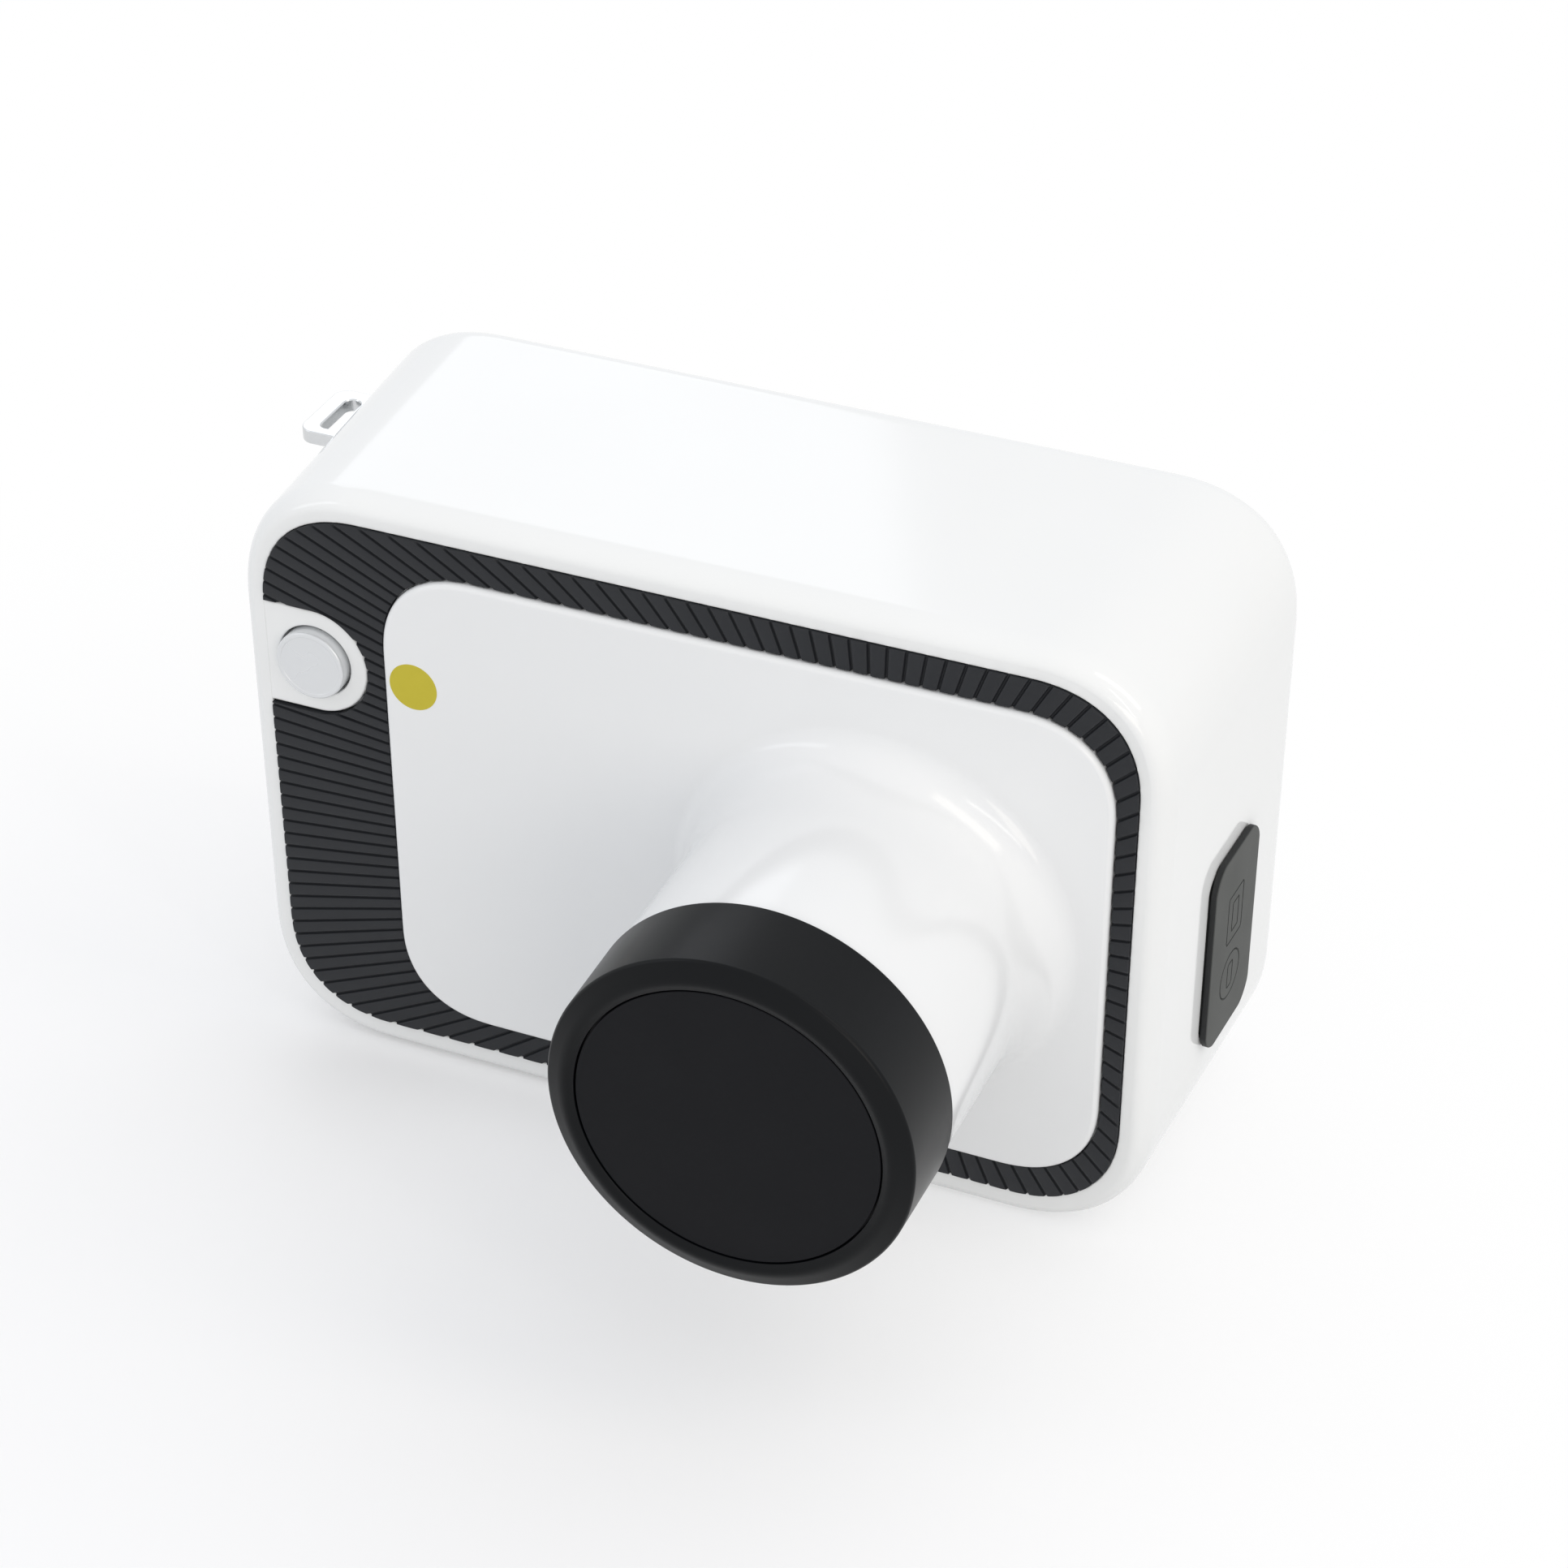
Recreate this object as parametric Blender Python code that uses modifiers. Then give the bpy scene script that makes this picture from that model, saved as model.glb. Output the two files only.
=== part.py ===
"""Handheld dental x-ray unit: a camera-shaped generator, modelled as an assembly of separate pieces.

Metres, +Z up. +X is the viewer's right as seen from the front and +Y runs to the rear.
The origin is the centre of the flat base. Depths are counted rearwards from the front face
of the housing, so a depth below zero lies in front of it.
"""
import math

import bmesh
import bpy
import numpy as np

# Housing: a soft box that widens a little to the rear
HOUSING_WIDTH = 0.1764
HOUSING_HEIGHT = 0.1212
HOUSING_DEPTH = 0.0680
SIDE_SPREAD = 0.0034
TOP_RISE = 0.0014
WALL = 0.0025
LIP = 0.0052
LIP_UNDER = 0.0060
LIP_ROUNDING = 0.0035
LIP_ROUNDING_DEPTH = 0.0048
BACK_ROUNDING = 0.0060
POCKET_DEPTH = 0.0015
CORNER_SHARE = 0.17079
CORNER_POWER = 2.35
CORNER_STEPS = 7
ROUNDING_STEPS = 4
SMALL_STEPS = 2

# Clearances
CLEARANCE = 0.0003
RUNNING_GAP = 0.0004
OVERRUN = 0.0020

# Ribbed grip band round the front panel
BAND_RISE = 0.0005
GROOVE_DEPTH = 0.0005
GROOVE_WIDTH = 0.0007
GROOVE_PITCH_NEAR = 0.0034
GROOVE_PITCH_FAR = 0.0027
PITCH_NEAR_REACH = 0.060
PITCH_FAR_REACH = 0.105

# Front panel
PANEL_MARGIN_LEFT = 0.0242
PANEL_MARGIN_RIGHT = 0.0036
PANEL_MARGIN = 0.0063
PANEL_REACH = 0.0186
PANEL_RISE = 0.0015
PANEL_ROUNDING = 0.0010

# Cone that carries the collimator
CONE_OFFSET = 0.0363
CONE_SHARE = 0.26568
CONE_WALL = 0.0047
CONE_LENGTH = 0.0480
FLARE_SPREAD = 0.0066
FLARE_LENGTH = 0.0150
FLARE_SINK = 0.0001
FLARE_STEPS = 6
SPIGOT_STEP = 0.0022
SPIGOT_LENGTH = 0.0120

# Collimator ring and exit window
RING_PROUD = 0.0003
RING_TAPER = 0.00025
RING_LENGTH = 0.0182
RING_ROUNDING = 0.0005
RING_SHOULDER = 0.0014
RING_BEAD = 0.0017
RING_BEAD_FLAT = 0.0006
RING_BEAD_HEIGHT = 0.0009
WINDOW_RIM = 0.0053
WINDOW_THICKNESS = 0.0018
WINDOW_LEDGE = 0.0016
WINDOW_SINK = 0.0001

# Beam path behind the cone
LINER_WALL = 0.0015
DIAPHRAGM_LAP = 0.0045
DIAPHRAGM_FLANGE = 0.0020
APERTURE_RADIUS = 0.0085
FILTER_RADIUS = 0.0115
FILTER_THICKNESS = 0.0015

# Exposure button in its lobe
LOBE_INSET = 0.0093
LOBE_HEIGHT_SHARE = 0.20215
LOBE_SHARE = 0.0887
LOBE_RIM = 0.00385
BUTTON_RISE = 0.0020
BUTTON_ROUNDING = 0.0007
BUTTON_DOME = 0.0002
BUTTON_FLANGE_WIDTH = 0.0015
BUTTON_FLANGE = 0.0012
BUTTON_STEM_RADIUS = 0.0022
BUTTON_STEM_LENGTH = 0.0065
BUTTON_TRAVEL = 0.0012
SWITCH_SIZE = 0.0080
SWITCH_HEIGHT = 0.0040
PLUNGER_RADIUS = 0.0017
PLUNGER_HEIGHT = 0.0010
BUTTON_BOARD_WIDTH = 0.0140
BUTTON_BOARD_MARGIN = 0.0010
BUTTON_POST_GAP = 0.0006
BOARD_POST_RADIUS = 0.0025
BOARD_THICKNESS = 0.0016

# Port cover and sockets on the right side
PORT_DEPTH = 0.0344
PORT_DROP_SHARE = 0.11716
PORT_COVER_LENGTH = 0.0233
PORT_HEIGHT_SHARE = 0.33828
PORT_COVER_THICKNESS = 0.0020
PORT_COVER_CORNER = 0.0045
PORT_COVER_EDGE = 0.0007
PORT_OVERLAP = 0.0025
PLUG_DEPTH = 0.0015
PLUG_GAP = 0.0007
PLUG_WALL = 0.0016
SOCKET_SETBACK = 0.0035
PORT_BOARD_SETBACK = 0.0150
PORT_BOARD_LENGTH = 0.0200
DC_RADIUS = 0.0045
DC_BORE = 0.0032
DC_PIN = 0.0010
DC_SETTING = 0.0085
USB_WIDTH = 0.0032
USB_HEIGHT = 0.0090
USB_SHELL = 0.0004
SOCKET_TONGUE = 0.0008

# Strap lug on the left side
LUG_SETBACK = 0.0130
LUG_LIFT_SHARE = 0.39026
LUG_LENGTH = 0.0200
LUG_REACH = 0.0085
LUG_THICKNESS = 0.0028
LUG_CORNER = 0.0030
LUG_SLOT_LENGTH = 0.0130
LUG_SLOT_WIDTH = 0.0034
LUG_SLOT_RIM = 0.0022
LUG_LEAF_DROP = 0.0160
LUG_LEAF_SETBACK = 0.0034
LUG_FAIRING_RISE = 0.0018
LUG_FAIRING_RUN = 0.0040
LUG_FAIRING_TAIL = 0.0052
LUG_FAIRING_RIM = 0.0014
LUG_SCREW_SPACING = 0.0110
LUG_PAD_RADIUS = 0.0040

# Rear cover, posts and screws
POST_SPREAD = 0.0620
POST_MARGIN = 0.0160
POST_RADIUS = 0.0040
POST_RIB = 0.0020
SCREW_HEAD_RADIUS = 0.0027
SCREW_HEAD_HEIGHT = 0.0016
SCREW_RADIUS = 0.0013
SCREW_LENGTH = 0.0090
SCREW_RECESS = 0.0035
BACK_RIM = 0.0012
LEDGE_WIDTH = 0.0028
COVER_ROUNDING = 0.0005

# Display and keys on the back
DISPLAY_OFFSET = 0.0120
DISPLAY_LIFT = 0.0020
GLASS_WIDTH = 0.0860
GLASS_HEIGHT = 0.0620
GLASS_THICKNESS = 0.0010
GLASS_CORNER = 0.0040
DISPLAY_RIM = 0.0050
DISPLAY_MODULE_THICKNESS = 0.0040
KEY_OFFSET = 0.0590
KEY_SHARE = 0.29091
KEY_RISE = 0.0010
KEY_ROUNDING = 0.0005
KEY_FLANGE_WIDTH = 0.0012
KEY_FLANGE = 0.0010
KEY_STEM_RADIUS = 0.0016
KEY_TRAVEL = 0.0008
KEYPAD_SETBACK = 0.0050
KEYPAD_WIDTH = 0.0150
KEYPAD_MARGIN = 0.0090
KEYPAD_GAP = 0.00075

# X-ray tank behind the front wall
TANK_WIDTH = 0.0640
TANK_GAP = 0.0060
TANK_BACK_ROOM = 0.0280
TANK_WALL = 0.0025
TANK_CORNER = 0.0060
TANK_LID = 0.0020
TANK_PORT = 0.0120
SHIELD_THICKNESS = 0.0012
TUBE_SHARE = 0.3125
TUBE_WALL = 0.0012
TUBE_LENGTH_SHARE = 0.71429
TUBE_GAP = 0.0022
ANODE_RADIUS = 0.0070
ANODE_STEM_RADIUS = 0.0045
ANODE_LENGTH_SHARE = 0.44
ANODE_CUT_SHARE = 0.36
CATHODE_RADIUS = 0.0060
CATHODE_LENGTH_SHARE = 0.32
CATHODE_CUP = 0.0030
CRADLE_MARGIN = 0.0015
CRADLE_HEIGHT_SHARE = 0.54286
CRADLE_SINK_SHARE = 0.15
TRANSFORMER_HEIGHT_SHARE = 0.51429
TRANSFORMER_COIL = 0.0055
MULTIPLIER_HEIGHT_SHARE = 0.65714
MULTIPLIER_PART = 0.0060
MULTIPLIER_COUNT = 4

# Main board, buzzer and battery
LID_POST_HEIGHT = 0.0030
MAIN_BOARD_WIDTH = 0.0580
MAIN_BOARD_MARGIN = 0.0020
CHIP_SIZE = 0.0120
CHIP_HEIGHT = 0.0014
CONNECTOR_LENGTH = 0.0180
CONNECTOR_WIDTH = 0.0050
CONNECTOR_HEIGHT = 0.0030
BUZZER_RADIUS = 0.0060
BUZZER_HEIGHT = 0.0045
BATTERY_MARGIN = 0.0037
BATTERY_LENGTH = 0.0640
BATTERY_LEFT = 0.0760
BATTERY_BASE = 0.0215
BRACKET_THICKNESS = 0.0012
BRACKET_LENGTH = 0.0260
BRACKET_FLANGE = 0.0070

# Tripod insert in the base
TRIPOD_SETBACK = 0.0150
TRIPOD_RADIUS = 0.0050
TRIPOD_BORE = 0.0032
TRIPOD_HEIGHT = 0.0090
TRIPOD_WALL = 0.0022

CHORD_ERROR = 0.00012
MERGE = 0.00001

# Places worked out from the sizes above
CORNER_REACH = CORNER_SHARE * HOUSING_HEIGHT
FRONT_Y = -HOUSING_DEPTH / 2
BACK_Y = HOUSING_DEPTH / 2
LEDGE_DEPTH = HOUSING_DEPTH - WALL - CLEARANCE
INNER_DEPTH = POCKET_DEPTH + WALL
BAND_LEFT = LIP - HOUSING_WIDTH / 2
BAND_RIGHT = HOUSING_WIDTH / 2 - LIP
BAND_BOTTOM = LIP_UNDER
BAND_TOP = HOUSING_HEIGHT - LIP
BAND_MIDDLE = (BAND_BOTTOM + BAND_TOP) / 2
PANEL_SIDES = (
    BAND_LEFT + PANEL_MARGIN_LEFT,
    BAND_RIGHT - PANEL_MARGIN_RIGHT,
    BAND_BOTTOM + PANEL_MARGIN,
    BAND_TOP - PANEL_MARGIN,
)
AXIS_X = CONE_OFFSET
AXIS_Z = BAND_MIDDLE
CONE_RADIUS = CONE_SHARE * HOUSING_HEIGHT
CONE_BORE = CONE_RADIUS - CONE_WALL
SPIGOT_RADIUS = CONE_RADIUS - SPIGOT_STEP
RING_RADIUS = CONE_RADIUS + RING_PROUD
WINDOW_RADIUS = RING_RADIUS - WINDOW_RIM
DIAPHRAGM_RADIUS = CONE_BORE - DIAPHRAGM_LAP
LOBE_X = BAND_LEFT + LOBE_INSET
LOBE_Z = BAND_MIDDLE + LOBE_HEIGHT_SHARE * HOUSING_HEIGHT
LOBE_RADIUS = LOBE_SHARE * HOUSING_HEIGHT
BUTTON_RADIUS = LOBE_RADIUS - LOBE_RIM
BUTTON_POST_SPACING = 2 * (BUTTON_RADIUS + BUTTON_FLANGE_WIDTH + BUTTON_POST_GAP + BOARD_POST_RADIUS)
BUTTON_BOARD_HEIGHT = BUTTON_POST_SPACING + 2 * (BOARD_POST_RADIUS + BUTTON_BOARD_MARGIN)
PORT_DROP = PORT_DROP_SHARE * HOUSING_HEIGHT
PORT_COVER_HEIGHT = PORT_HEIGHT_SHARE * HOUSING_HEIGHT
LUG_DEPTH = HOUSING_DEPTH - BACK_ROUNDING - LUG_SETBACK
LUG_LIFT = LUG_LIFT_SHARE * HOUSING_HEIGHT
KEYPAD_MIDDLE = BAND_MIDDLE + DISPLAY_LIFT
KEYPAD_TOP = HOUSING_HEIGHT - POST_MARGIN - SCREW_HEAD_RADIUS - WALL - KEYPAD_GAP
KEYPAD_REACH = KEYPAD_TOP - KEYPAD_MIDDLE - BOARD_POST_RADIUS
KEY_PITCH = (KEYPAD_REACH - KEYPAD_MARGIN) * 2 / 3
KEY_RADIUS = KEY_SHARE * KEY_PITCH
TANK_HEIGHT = 2 * (AXIS_Z - POST_MARGIN - POST_RADIUS - TANK_GAP)
TANK_DEPTH = HOUSING_DEPTH - TANK_BACK_ROOM
SHIELD_INSIDE = TANK_WIDTH / 2 - TANK_WALL - CLEARANCE - SHIELD_THICKNESS
TUBE_RADIUS = TUBE_SHARE * TANK_DEPTH
TUBE_LENGTH = TUBE_LENGTH_SHARE * TANK_HEIGHT
ANODE_LENGTH = ANODE_LENGTH_SHARE * TUBE_LENGTH
CATHODE_LENGTH = CATHODE_LENGTH_SHARE * TUBE_LENGTH
CRADLE_WIDTH = 2 * (TUBE_RADIUS + CRADLE_MARGIN)
CRADLE_HEIGHT = CRADLE_HEIGHT_SHARE * TANK_HEIGHT
CRADLE_SINK = CRADLE_SINK_SHARE * TANK_DEPTH
TRANSFORMER_WIDTH = SHIELD_INSIDE - CLEARANCE - TUBE_RADIUS - TUBE_GAP
TRANSFORMER_HEIGHT = TRANSFORMER_HEIGHT_SHARE * TANK_HEIGHT
MULTIPLIER_HEIGHT = MULTIPLIER_HEIGHT_SHARE * TANK_HEIGHT
MAIN_BOARD_HEIGHT = TANK_HEIGHT - 2 * MAIN_BOARD_MARGIN
BATTERY_WING = CLEARANCE + BRACKET_THICKNESS + BRACKET_FLANGE
BATTERY_TOP = LOBE_Z - BUTTON_BOARD_HEIGHT / 2 - BATTERY_MARGIN - BATTERY_WING
CELL_RADIUS = (BATTERY_TOP - BATTERY_BASE) / 4

FINISHES = {
    "white_abs": ((0.86, 0.87, 0.88), 0.18, 0.0),
    "panel_white": ((0.70, 0.73, 0.75), 0.22, 0.0),
    "grip_rubber": ((0.032, 0.036, 0.040), 0.62, 0.0),
    "black_satin": ((0.013, 0.014, 0.016), 0.38, 0.0),
    "window_black": ((0.016, 0.017, 0.019), 0.55, 0.0),
    "button_silver": ((0.62, 0.64, 0.66), 0.30, 0.6),
    "aluminium": ((0.80, 0.81, 0.82), 0.30, 1.0),
    "brass": ((0.72, 0.52, 0.24), 0.32, 1.0),
    "steel": ((0.58, 0.58, 0.60), 0.30, 1.0),
    "lead": ((0.22, 0.23, 0.25), 0.60, 1.0),
    "copper": ((0.78, 0.42, 0.26), 0.35, 1.0),
    "glass": ((0.80, 0.86, 0.88), 0.05, 0.0),
    "screen_glass": ((0.010, 0.011, 0.013), 0.06, 0.0),
    "board_green": ((0.02, 0.16, 0.07), 0.45, 0.0),
    "dark_plastic": ((0.05, 0.055, 0.06), 0.55, 0.0),
    "battery_wrap": ((0.05, 0.16, 0.34), 0.40, 0.0),
    "port_rubber": ((0.055, 0.062, 0.061), 0.66, 0.0),
}

FACING_FRONT = (math.pi / 2, 0, 0)
FACING_BACK = (-math.pi / 2, 0, 0)
FACING_SIDE = (math.pi / 2, 0, math.pi / 2)
FACING_RIGHT = (0, math.pi / 2, 0)
UPRIGHT = (0, 0, 0)


def clear_scene():
    for old in list(bpy.data.objects):
        bpy.data.objects.remove(old)


def new_collection(name):
    collection = bpy.data.collections.new(name)
    bpy.context.scene.collection.children.link(collection)
    return collection


def make_material(name, finish):
    colour, roughness, metallic = FINISHES[finish]
    material = bpy.data.materials.new(name)
    material.use_nodes = True
    shader = material.node_tree.nodes["Principled BSDF"]
    shader.inputs["Base Color"].default_value = (*colour, 1)
    shader.inputs["Roughness"].default_value = roughness
    shader.inputs["Metallic"].default_value = metallic
    return material


def add_object(name, mesh, finish=None, location=(0, 0, 0), rotation=UPRIGHT, parent=None):
    """Link a mesh as a finished piece, or as a cutter or guide when it has no finish."""
    item = bpy.data.objects.new(name, mesh)
    item.location = location
    item.rotation_euler = rotation
    item.parent = parent
    if finish:
        PIECES.objects.link(item)
        mesh.materials.append(make_material(f"{name}_material", finish))
    else:
        TOOLS.objects.link(item)
        item.hide_render = True
        item.display_type = "WIRE"
    return item


def mesh_from(name, shape):
    mesh = bpy.data.meshes.new(name)
    shape.to_mesh(mesh)
    shape.free()
    return mesh


def block(name, size, centre, finish=None, rounding=0, parent=None, rotation=UPRIGHT):
    """A box of the given size round its centre, its edges rounded where asked."""
    shape = bmesh.new()
    bmesh.ops.create_cube(shape, size=1)
    bmesh.ops.scale(shape, vec=size, verts=shape.verts)
    item = add_object(name, mesh_from(name, shape), finish, centre, rotation, parent)
    if rounding:
        round_edges(item, rounding)
    return item


def sides(radius):
    """How many sides keep a circle's facets within the chord error."""
    return 4 * math.ceil(math.pi / math.acos(1 - CHORD_ERROR / radius) / 4)


def rod(name, radius, length, centre, rotation, finish=None, parent=None):
    """A cylinder along its own Z axis, turned to lie along the wanted direction."""
    shape = bmesh.new()
    bmesh.ops.create_cone(
        shape, cap_ends=True, segments=sides(radius), radius1=radius, radius2=radius, depth=length
    )
    return add_object(name, mesh_from(name, shape), finish, centre, rotation, parent)


def turned(name, profile, location, rotation, finish=None, ring=False):
    """A profile of (radius, height) pairs, outer side downwards, swept round its own Z axis."""
    mesh = bpy.data.meshes.new(name)
    count = len(profile)
    edges = [(i, i + 1) for i in range(count - 1)]
    if ring:
        edges.append((count - 1, 0))
    mesh.from_pydata([(radius, 0, height) for radius, height in profile], edges, [])
    item = add_object(name, mesh, finish, location, rotation)
    screw = item.modifiers.new("Turn", "SCREW")
    screw.steps = sides(max(radius for radius, _ in profile))
    screw.render_steps = screw.steps
    screw.use_merge_vertices = True
    screw.merge_threshold = MERGE
    screw.use_smooth_shade = True
    return item


def plate(name, outlines, thickness, centre, rotation, finish=None, parent=None):
    """A flat plate: 2D outlines in its own XY plane, thick along its own Z axis."""
    curve = bpy.data.curves.new(name, "CURVE")
    curve.dimensions = "2D"
    curve.fill_mode = "BOTH"
    curve.extrude = thickness / 2
    for points in outlines:
        spline = curve.splines.new("POLY")
        spline.points.add(len(points) - 1)
        spline.use_cyclic_u = True
        for point, (x, y) in zip(spline.points, points):
            point.co = (x, y, 0, 1)
    guide = bpy.data.objects.new(name, curve)
    TOOLS.objects.link(guide)
    bpy.context.view_layer.update()
    evaluated = guide.evaluated_get(bpy.context.evaluated_depsgraph_get())
    mesh = bpy.data.meshes.new_from_object(evaluated)
    bpy.data.objects.remove(guide)
    shape = bmesh.new()
    shape.from_mesh(mesh)
    bmesh.ops.remove_doubles(shape, verts=shape.verts, dist=MERGE)
    bmesh.ops.recalc_face_normals(shape, faces=shape.faces)
    shape.to_mesh(mesh)
    shape.free()
    mesh.name = name
    return add_object(name, mesh, finish, centre, rotation, parent)


def loft(name, rings, finish=None):
    """Quads between rings of equally many points, with a cap on the first and the last ring."""
    shape = bmesh.new()
    rows = [[shape.verts.new(point) for point in ring] for ring in rings]
    count = len(rows[0])
    for near, far in zip(rows, rows[1:]):
        for i in range(count):
            j = (i + 1) % count
            shape.faces.new((near[i], near[j], far[j], far[i]))
    shape.faces.new(rows[0])
    shape.faces.new(rows[-1])
    bmesh.ops.recalc_face_normals(shape, faces=shape.faces)
    return add_object(name, mesh_from(name, shape), finish)


def round_edges(item, width, segments=2, limit=math.radians(40)):
    bevel = item.modifiers.new("Edges", "BEVEL")
    bevel.width = width
    bevel.segments = segments
    bevel.limit_method = "ANGLE"
    bevel.angle_limit = limit
    bevel.use_clamp_overlap = True


def combine(item, tool, operation):
    step = item.modifiers.new(tool.name, "BOOLEAN")
    step.operation = operation
    step.solver = "EXACT"
    step.object = tool


def cut(item, *tools):
    for tool in tools:
        combine(item, tool, "DIFFERENCE")


def join(item, *tools):
    for tool in tools:
        combine(item, tool, "UNION")


def smooth(item, angle=math.radians(35)):
    item.data.shade_smooth()
    item.data.set_sharp_from_angle(angle=angle)


def at_depth(depth):
    return FRONT_Y + depth


def corner_arc(reach, steps, power=CORNER_POWER):
    """Points of a superellipse quarter, as distances from its centre, from (reach, 0) to (0, reach)."""
    turn = np.linspace(0, math.pi / 2, steps + 1)
    across = reach * np.cos(turn) ** (2 / power)
    upward = reach * np.sin(turn) ** (2 / power)
    return list(zip(across, upward))


def soft_rectangle(left, right, bottom, top, reach, steps=CORNER_STEPS, power=CORNER_POWER):
    """Anticlockwise outline of a rectangle with superellipse corners."""
    arc = corner_arc(reach, steps, power)
    back = arc[::-1]
    points = [(right - reach + a, top - reach + b) for a, b in arc]
    points += [(left + reach - a, top - reach + b) for a, b in back]
    points += [(left + reach - a, bottom + reach - b) for a, b in arc]
    points += [(right - reach + a, bottom + reach - b) for a, b in back]
    return points


def round_rectangle(width, height, radius, steps=4):
    """Outline of a rectangle round the origin with plain round corners."""
    return soft_rectangle(-width / 2, width / 2, -height / 2, height / 2, radius, steps, power=2)


def stadium(left, right, middle, radius, steps=12):
    """A slot outline that is square at the left end and half round at the right end."""
    turn = np.linspace(-math.pi / 2, math.pi / 2, steps + 1)
    arc = [(right + radius * math.cos(t), middle + radius * math.sin(t)) for t in turn]
    return [(left, middle - radius)] + arc + [(left, middle + radius)]


def housing_sides(depth):
    """Left, right, bottom and top of the housing's outside at a depth, before its roundings."""
    share = depth / HOUSING_DEPTH
    half = HOUSING_WIDTH / 2 + SIDE_SPREAD * share
    return -half, half, 0, HOUSING_HEIGHT + TOP_RISE * share


def housing_ring(depth, inset):
    """Outline of the housing's section at a depth, drawn in by an inset all round."""
    left, right, bottom, top = housing_sides(depth)
    reach = CORNER_REACH + LIP - inset
    outline = soft_rectangle(left + inset, right - inset, bottom + inset, top - inset, reach)
    return [(x, at_depth(depth), z) for x, z in outline]


def side_surface(depth, height):
    """Half width of the housing's outside at a depth and a height, in its upper half."""
    _, half, _, top = housing_sides(depth)
    reach = CORNER_REACH + LIP
    climb = max(0, height - (top - reach)) / reach
    return half - reach + reach * (1 - climb**CORNER_POWER) ** (1 / CORNER_POWER)


def quarter(steps=ROUNDING_STEPS):
    """Sine and cosine pairs of a quarter turn."""
    turns = np.linspace(0, math.pi / 2, steps + 1)
    return [(math.sin(t), math.cos(t)) for t in turns]


def band_outline(grow=0):
    return soft_rectangle(
        BAND_LEFT - grow, BAND_RIGHT + grow, BAND_BOTTOM - grow, BAND_TOP + grow, CORNER_REACH + grow
    )


def lobe_plate(name, grow, depth_front, depth_back):
    """The half-round lobe round the exposure button, run out through the left lip."""
    outline = stadium(BAND_LEFT - LIP, LOBE_X, LOBE_Z, LOBE_RADIUS + grow)
    middle = at_depth((depth_front + depth_back) / 2)
    return plate(name, [outline], depth_back - depth_front, (0, middle, 0), FACING_FRONT)


def main_housing():
    """Deep shell with its rounded lip, front pocket, rear ledge, lobe, posts and openings."""
    rings = [housing_ring(LIP_ROUNDING_DEPTH * (1 - c), LIP_ROUNDING * (1 - s)) for s, c in quarter()]
    rings += back_rounding_rings()
    rim = BACK_ROUNDING + BACK_RIM
    rings.append(housing_ring(HOUSING_DEPTH, rim))
    rings.append(housing_ring(LEDGE_DEPTH, rim))
    rings.append(housing_ring(LEDGE_DEPTH, rim + LEDGE_WIDTH))
    rings.append(housing_ring(LEDGE_DEPTH - WALL, rim + LEDGE_WIDTH))
    rings.append(housing_ring(LEDGE_DEPTH - 2 * WALL, WALL))
    rings.append(housing_ring(INNER_DEPTH, WALL))
    housing = loft("main_housing", rings, "white_abs")

    pocket = plate(
        "pocket_cutter",
        [band_outline(CLEARANCE)],
        POCKET_DEPTH + OVERRUN,
        (0, at_depth((POCKET_DEPTH - OVERRUN) / 2), 0),
        FACING_FRONT,
    )
    cut(pocket, lobe_plate("lobe_keeper", 0, -2 * OVERRUN, POCKET_DEPTH + OVERRUN))
    cut(housing, pocket)

    inner_end = cover_boss_end() - CLEARANCE
    rib_end = LEDGE_DEPTH - 2 * WALL
    for tag, x, z, wall_z in post_places():
        length = inner_end - INNER_DEPTH + OVERRUN / 2
        middle = at_depth(inner_end - length / 2)
        post = rod(f"post_{tag}", POST_RADIUS, length, (x, middle, z), FACING_FRONT)
        rib_length = rib_end - INNER_DEPTH + OVERRUN / 2
        rib_size = (POST_RIB, rib_length, abs(z - wall_z))
        rib_middle = at_depth(rib_end - rib_length / 2)
        rib = block(f"post_rib_{tag}", rib_size, (x, rib_middle, (z + wall_z) / 2))
        pilot_length = SCREW_LENGTH + OVERRUN
        pilot = rod(
            f"post_pilot_{tag}",
            SCREW_RADIUS + CLEARANCE,
            pilot_length,
            (x, at_depth(inner_end + OVERRUN - pilot_length / 2), z),
            FACING_FRONT,
        )
        join(post, rib)
        join(housing, post)
        cut(housing, pilot)

    for tag, lift in (("low", -1), ("high", 1)):
        length = button_board_depth() - CLEARANCE - INNER_DEPTH + OVERRUN / 2
        middle = at_depth(button_board_depth() - CLEARANCE - length / 2)
        place = (LOBE_X, middle, LOBE_Z + lift * BUTTON_POST_SPACING / 2)
        join(housing, rod(f"switch_post_{tag}", BOARD_POST_RADIUS, length, place, FACING_FRONT))

    through = INNER_DEPTH + 2 * OVERRUN
    middle = at_depth(INNER_DEPTH / 2)
    hole = BUTTON_RADIUS + RUNNING_GAP
    place = (LOBE_X, middle, LOBE_Z)
    cut(housing, rod("button_hole", hole, through, place, FACING_FRONT))
    hole = DIAPHRAGM_RADIUS + CLEARANCE
    place = (AXIS_X, middle, AXIS_Z)
    cut(housing, rod("beam_hole", hole, through, place, FACING_FRONT))
    add_port_window(housing)
    add_lug_seat(housing)
    add_tripod_seat(housing)
    smooth(housing)
    return housing


def back_rounding_rings():
    return [
        housing_ring(HOUSING_DEPTH - BACK_ROUNDING * (1 - s), BACK_ROUNDING * (1 - c)) for s, c in quarter()
    ]


def cover_boss_end():
    """Depth at which the rear cover's screw bosses meet the housing's posts."""
    return HOUSING_DEPTH - SCREW_RECESS - WALL


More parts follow.
